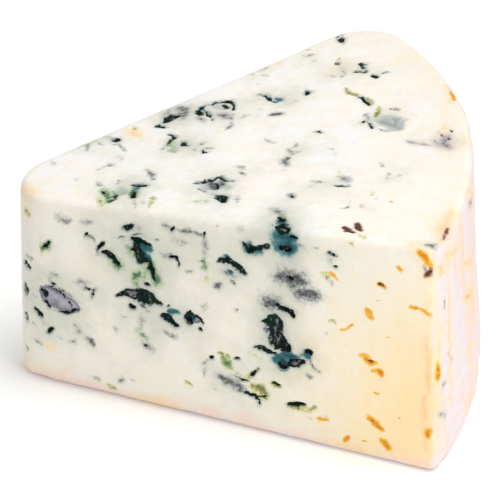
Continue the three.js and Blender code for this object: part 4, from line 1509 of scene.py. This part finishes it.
@dataclass
class CheeseWedge:
    """The wedge itself, one closed piece."""

    cad_low: np.ndarray
    cad_high: np.ndarray
    form: WedgeForm = field(default_factory=WedgeForm)
    warm_reach: float = 49.0
    warm_curve: float = 1.4
    warm_spots: tuple[WarmSpot, ...] = (
        WarmSpot((10.5, 4.0, 40.0), 7.0, 0.4),
        WarmSpot((11.5, 2.5, 3.0), 7.5, 0.3),
    )
    top_coolness: float = 0.64
    cool_rise: tuple[float, float] = (0.2, 1.0)
    blush_reach: float = 6.5
    # Slopes of the skin between which the painted shade on the upright cuts comes in.
    upright_shade_tilt: tuple[float, float] = (0.9, 0.3)
    shift: np.ndarray = field(init=False)

    def _centre(self, vertices: np.ndarray) -> np.ndarray:
        """Finds the move from the wheel's centre to the middle of the solid's box.

        Args:
            vertices: Vertices of the smooth skin.

        Returns:
            The move in millimetres; upwards it sets the skin's foot on the solid's.
        """
        own = (vertices.min(axis=0) + vertices.max(axis=0)) / 2.0
        cad = (self.cad_low + self.cad_high) / 2.0 / MM
        return np.array([cad[0] - own[0], cad[1] - own[1], self.cad_low[2] / MM])

    def _zones(
        self, vertices: np.ndarray, outward: np.ndarray, relief: CheeseRelief
    ) -> dict[str, np.ndarray]:
        """Fields that rise towards the rind, towards the tip's two ends and towards the base.

        Warmth falls from 1 at the rim to 0 at the warm reach inside it, less and less up
        towards the top cut, and has two weaker spots at the ends of the tip. Blush falls from
        1 at the base to 0 at the blush reach above it. Cut is 1 on upright faces, 0 on top, and sets
        where the paste is darkened as painted shade.

        Args:
            vertices: Vertices of the smooth skin.
            outward: Their outward directions.
            relief: Relief, which knows where the rind is.

        Returns:
            Fields from 0 to 1, by attribute name.
        """
        gap = self.form.wheel_radius - np.linalg.norm(vertices[:, :2], axis=1)
        height = vertices[:, 2] / self.form.front_corner_height
        warm = np.clip(1.0 - gap / self.warm_reach, 0.0, 1.0) ** self.warm_curve
        warm *= 1.0 - self.top_coolness * smooth_step(*self.cool_rise, height)
        for spot in self.warm_spots:
            square = ((vertices - spot.place) ** 2).sum(axis=1)
            warm = np.maximum(warm, spot.strength * np.exp(-square / spot.reach ** 2))
        blush = np.clip(1.0 - vertices[:, 2] / self.blush_reach, 0.0, 1.0)
        # Painted shade: the cut field is 1 on upright faces, where the paste is darkened.
        cut = smooth_step(*self.upright_shade_tilt, outward[:, 2])
        return {"warm": warm, "blush": blush, "cut": cut, "rind": relief.rind_share(vertices, outward)}

    def build(self) -> bpy.types.Object:
        """Makes the mesh with its fields and its finish.

        Returns:
            The finished piece.
        """
        skin = WedgeSkin(self.form)
        vertices, outward, faces = skin.build()
        mould = MouldMap(self.form)
        marks = mould.fields(vertices)
        relief = CheeseRelief(self.form)
        self.shift = self._centre(vertices)
        moved = (relief.apply(vertices, outward, marks) + self.shift) * MM
        moved = np.clip(moved, self.cad_low, self.cad_high)
        mesh = bpy.data.meshes.new("cheese")
        mesh.from_pydata(moved, [], faces)
        mesh.shade_smooth()
        fields = self._zones(vertices, outward, relief)
        fields["haze"] = mould.haze(vertices)
        fields.update({kind.value: value for kind, value in marks.items()})
        for name, value in fields.items():
            layer = mesh.attributes.new(name, "FLOAT", "POINT")
            layer.data.foreach_set("value", value.astype(np.float32))
        mesh.materials.append(CheeseFinish().build())
        return linked("cheese", mesh)


@dataclass(frozen=True)
class Lamp:
    """A soft square light: its name, place and side in metres, and its power in watts."""

    name: str
    place: tuple[float, float, float]
    size: float
    power: float

    def add(self) -> None:
        """Adds the light, which points at the wedge and can't itself be seen."""
        data = bpy.data.lights.new(self.name, "AREA")
        data.size = self.size
        data.energy = self.power
        lamp = linked(self.name, data)
        lamp.location = self.place
        lamp.visible_camera = False
        lamp.rotation_euler = (-Vector(self.place)).to_track_quat("-Z", "Y").to_euler()


@dataclass(frozen=True)
class Studio:
    """Pale floor, soft light and the camera, in metres but for the aim and the lens, in millimetres."""

    floor_size: float = 6.0
    floor_tones: tuple[tuple[int, int, int], ...] = ((252, 252, 252), (255, 255, 255))
    floor_cloud: float = 0.4
    floor_detail: float = 2.0
    floor_roughness: float = 0.9
    floor_glow: float = 0.07
    white: tuple[float, float, float, float] = (1.0, 1.0, 1.0, 1.0)
    surround: float = 0.52
    key: Lamp = Lamp("key", (0.4, 0.0, 1.5), 1.0, 13.0)
    fill: Lamp = Lamp("fill", (0.17, -0.17, 0.12), 0.1, 0.11)
    aim: tuple[float, float, float] = (48.0, 29.1, 24.3)
    azimuth: float = math.radians(23.65)
    elevation: float = math.radians(27.89)
    roll: float = math.radians(0.39)
    distance: float = 1.206
    lens: float = 432.0
    far_clip: float = 50.0

    def floor(self, level: float) -> bpy.types.Object:
        """Lays a flat square under the wedge, gently clouded so that it isn't one even colour.

        Args:
            level: Height of the floor.

        Returns:
            The floor.
        """
        half = self.floor_size / 2.0
        corners = [(-half, -half, level), (half, -half, level), (half, half, level), (-half, half, level)]
        mesh = bpy.data.meshes.new("floor")
        mesh.from_pydata(corners, [], [(0, 1, 2, 3)])
        material = bpy.data.materials.new("studio_floor")
        material.use_nodes = True
        tree = NodeTree(material.node_tree)
        coords = tree.add("TexCoord").outputs["Object"]
        grey, white = (linear(tone) for tone in self.floor_tones)
        given = {
            "Base Color": tree.mix(tree.noise(coords, self.floor_cloud, self.floor_detail), grey, white),
            "Roughness": self.floor_roughness,
            "Specular IOR Level": 0.0,
            "Emission Color": self.white,
            "Emission Strength": self.floor_glow,
        }
        tree.feed_all(material.node_tree.nodes["Principled BSDF"], given)
        mesh.materials.append(material)
        return linked("floor", mesh)

    def lights(self) -> None:
        """Sets an even white surround, a large key overhead and a weak fill from the rind's side."""
        world = bpy.data.worlds.new("studio")
        world.use_nodes = True
        world.node_tree.nodes["Background"].inputs["Color"].default_value = self.white
        world.node_tree.nodes["Background"].inputs["Strength"].default_value = self.surround
        bpy.context.scene.world = world
        self.key.add()
        self.fill.add()
        bpy.context.scene.view_settings.view_transform = "Standard"

    def camera(self, shift: np.ndarray) -> None:
        """Places a long lens that looks down on the front cut and the top.

        Args:
            shift: Move from the wheel's centre to the frame, in millimetres.
        """
        level = math.cos(self.elevation)
        across, onward = math.sin(self.azimuth), math.cos(self.azimuth)
        ahead = Vector((-across * level, onward * level, -math.sin(self.elevation)))
        right = Matrix.Rotation(-self.roll, 3, ahead) @ Vector((onward, across, 0.0))
        above = right.cross(ahead)
        axes = Matrix((right, above, -ahead)).transposed()
        target = Vector((np.array(self.aim) + shift) * MM)
        data = bpy.data.cameras.new("camera")
        data.lens = self.lens
        data.clip_end = self.far_clip
        camera = linked("camera", data)
        camera.matrix_world = Matrix.Translation(target - ahead * self.distance) @ axes.to_4x4()
        bpy.context.scene.camera = camera


def main() -> None:
    """Builds the wedge and its surroundings."""
    logging.basicConfig(level=logging.INFO, format="%(message)s")
    cad_low, cad_high = (np.array(corner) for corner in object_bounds())
    wedge = CheeseWedge(cad_low, cad_high)
    piece = wedge.build()
    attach(piece, "root")
    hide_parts(CAD_NODE)
    log.info("cheese: %d vertices, %d faces", len(piece.data.vertices), len(piece.data.polygons))
    studio = Studio()
    studio.floor(float(cad_low[2]))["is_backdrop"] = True
    studio.lights()
    studio.camera(wedge.shift)
    log.info("studio: floor, lights and camera")


if __name__ == "__main__":
    main()
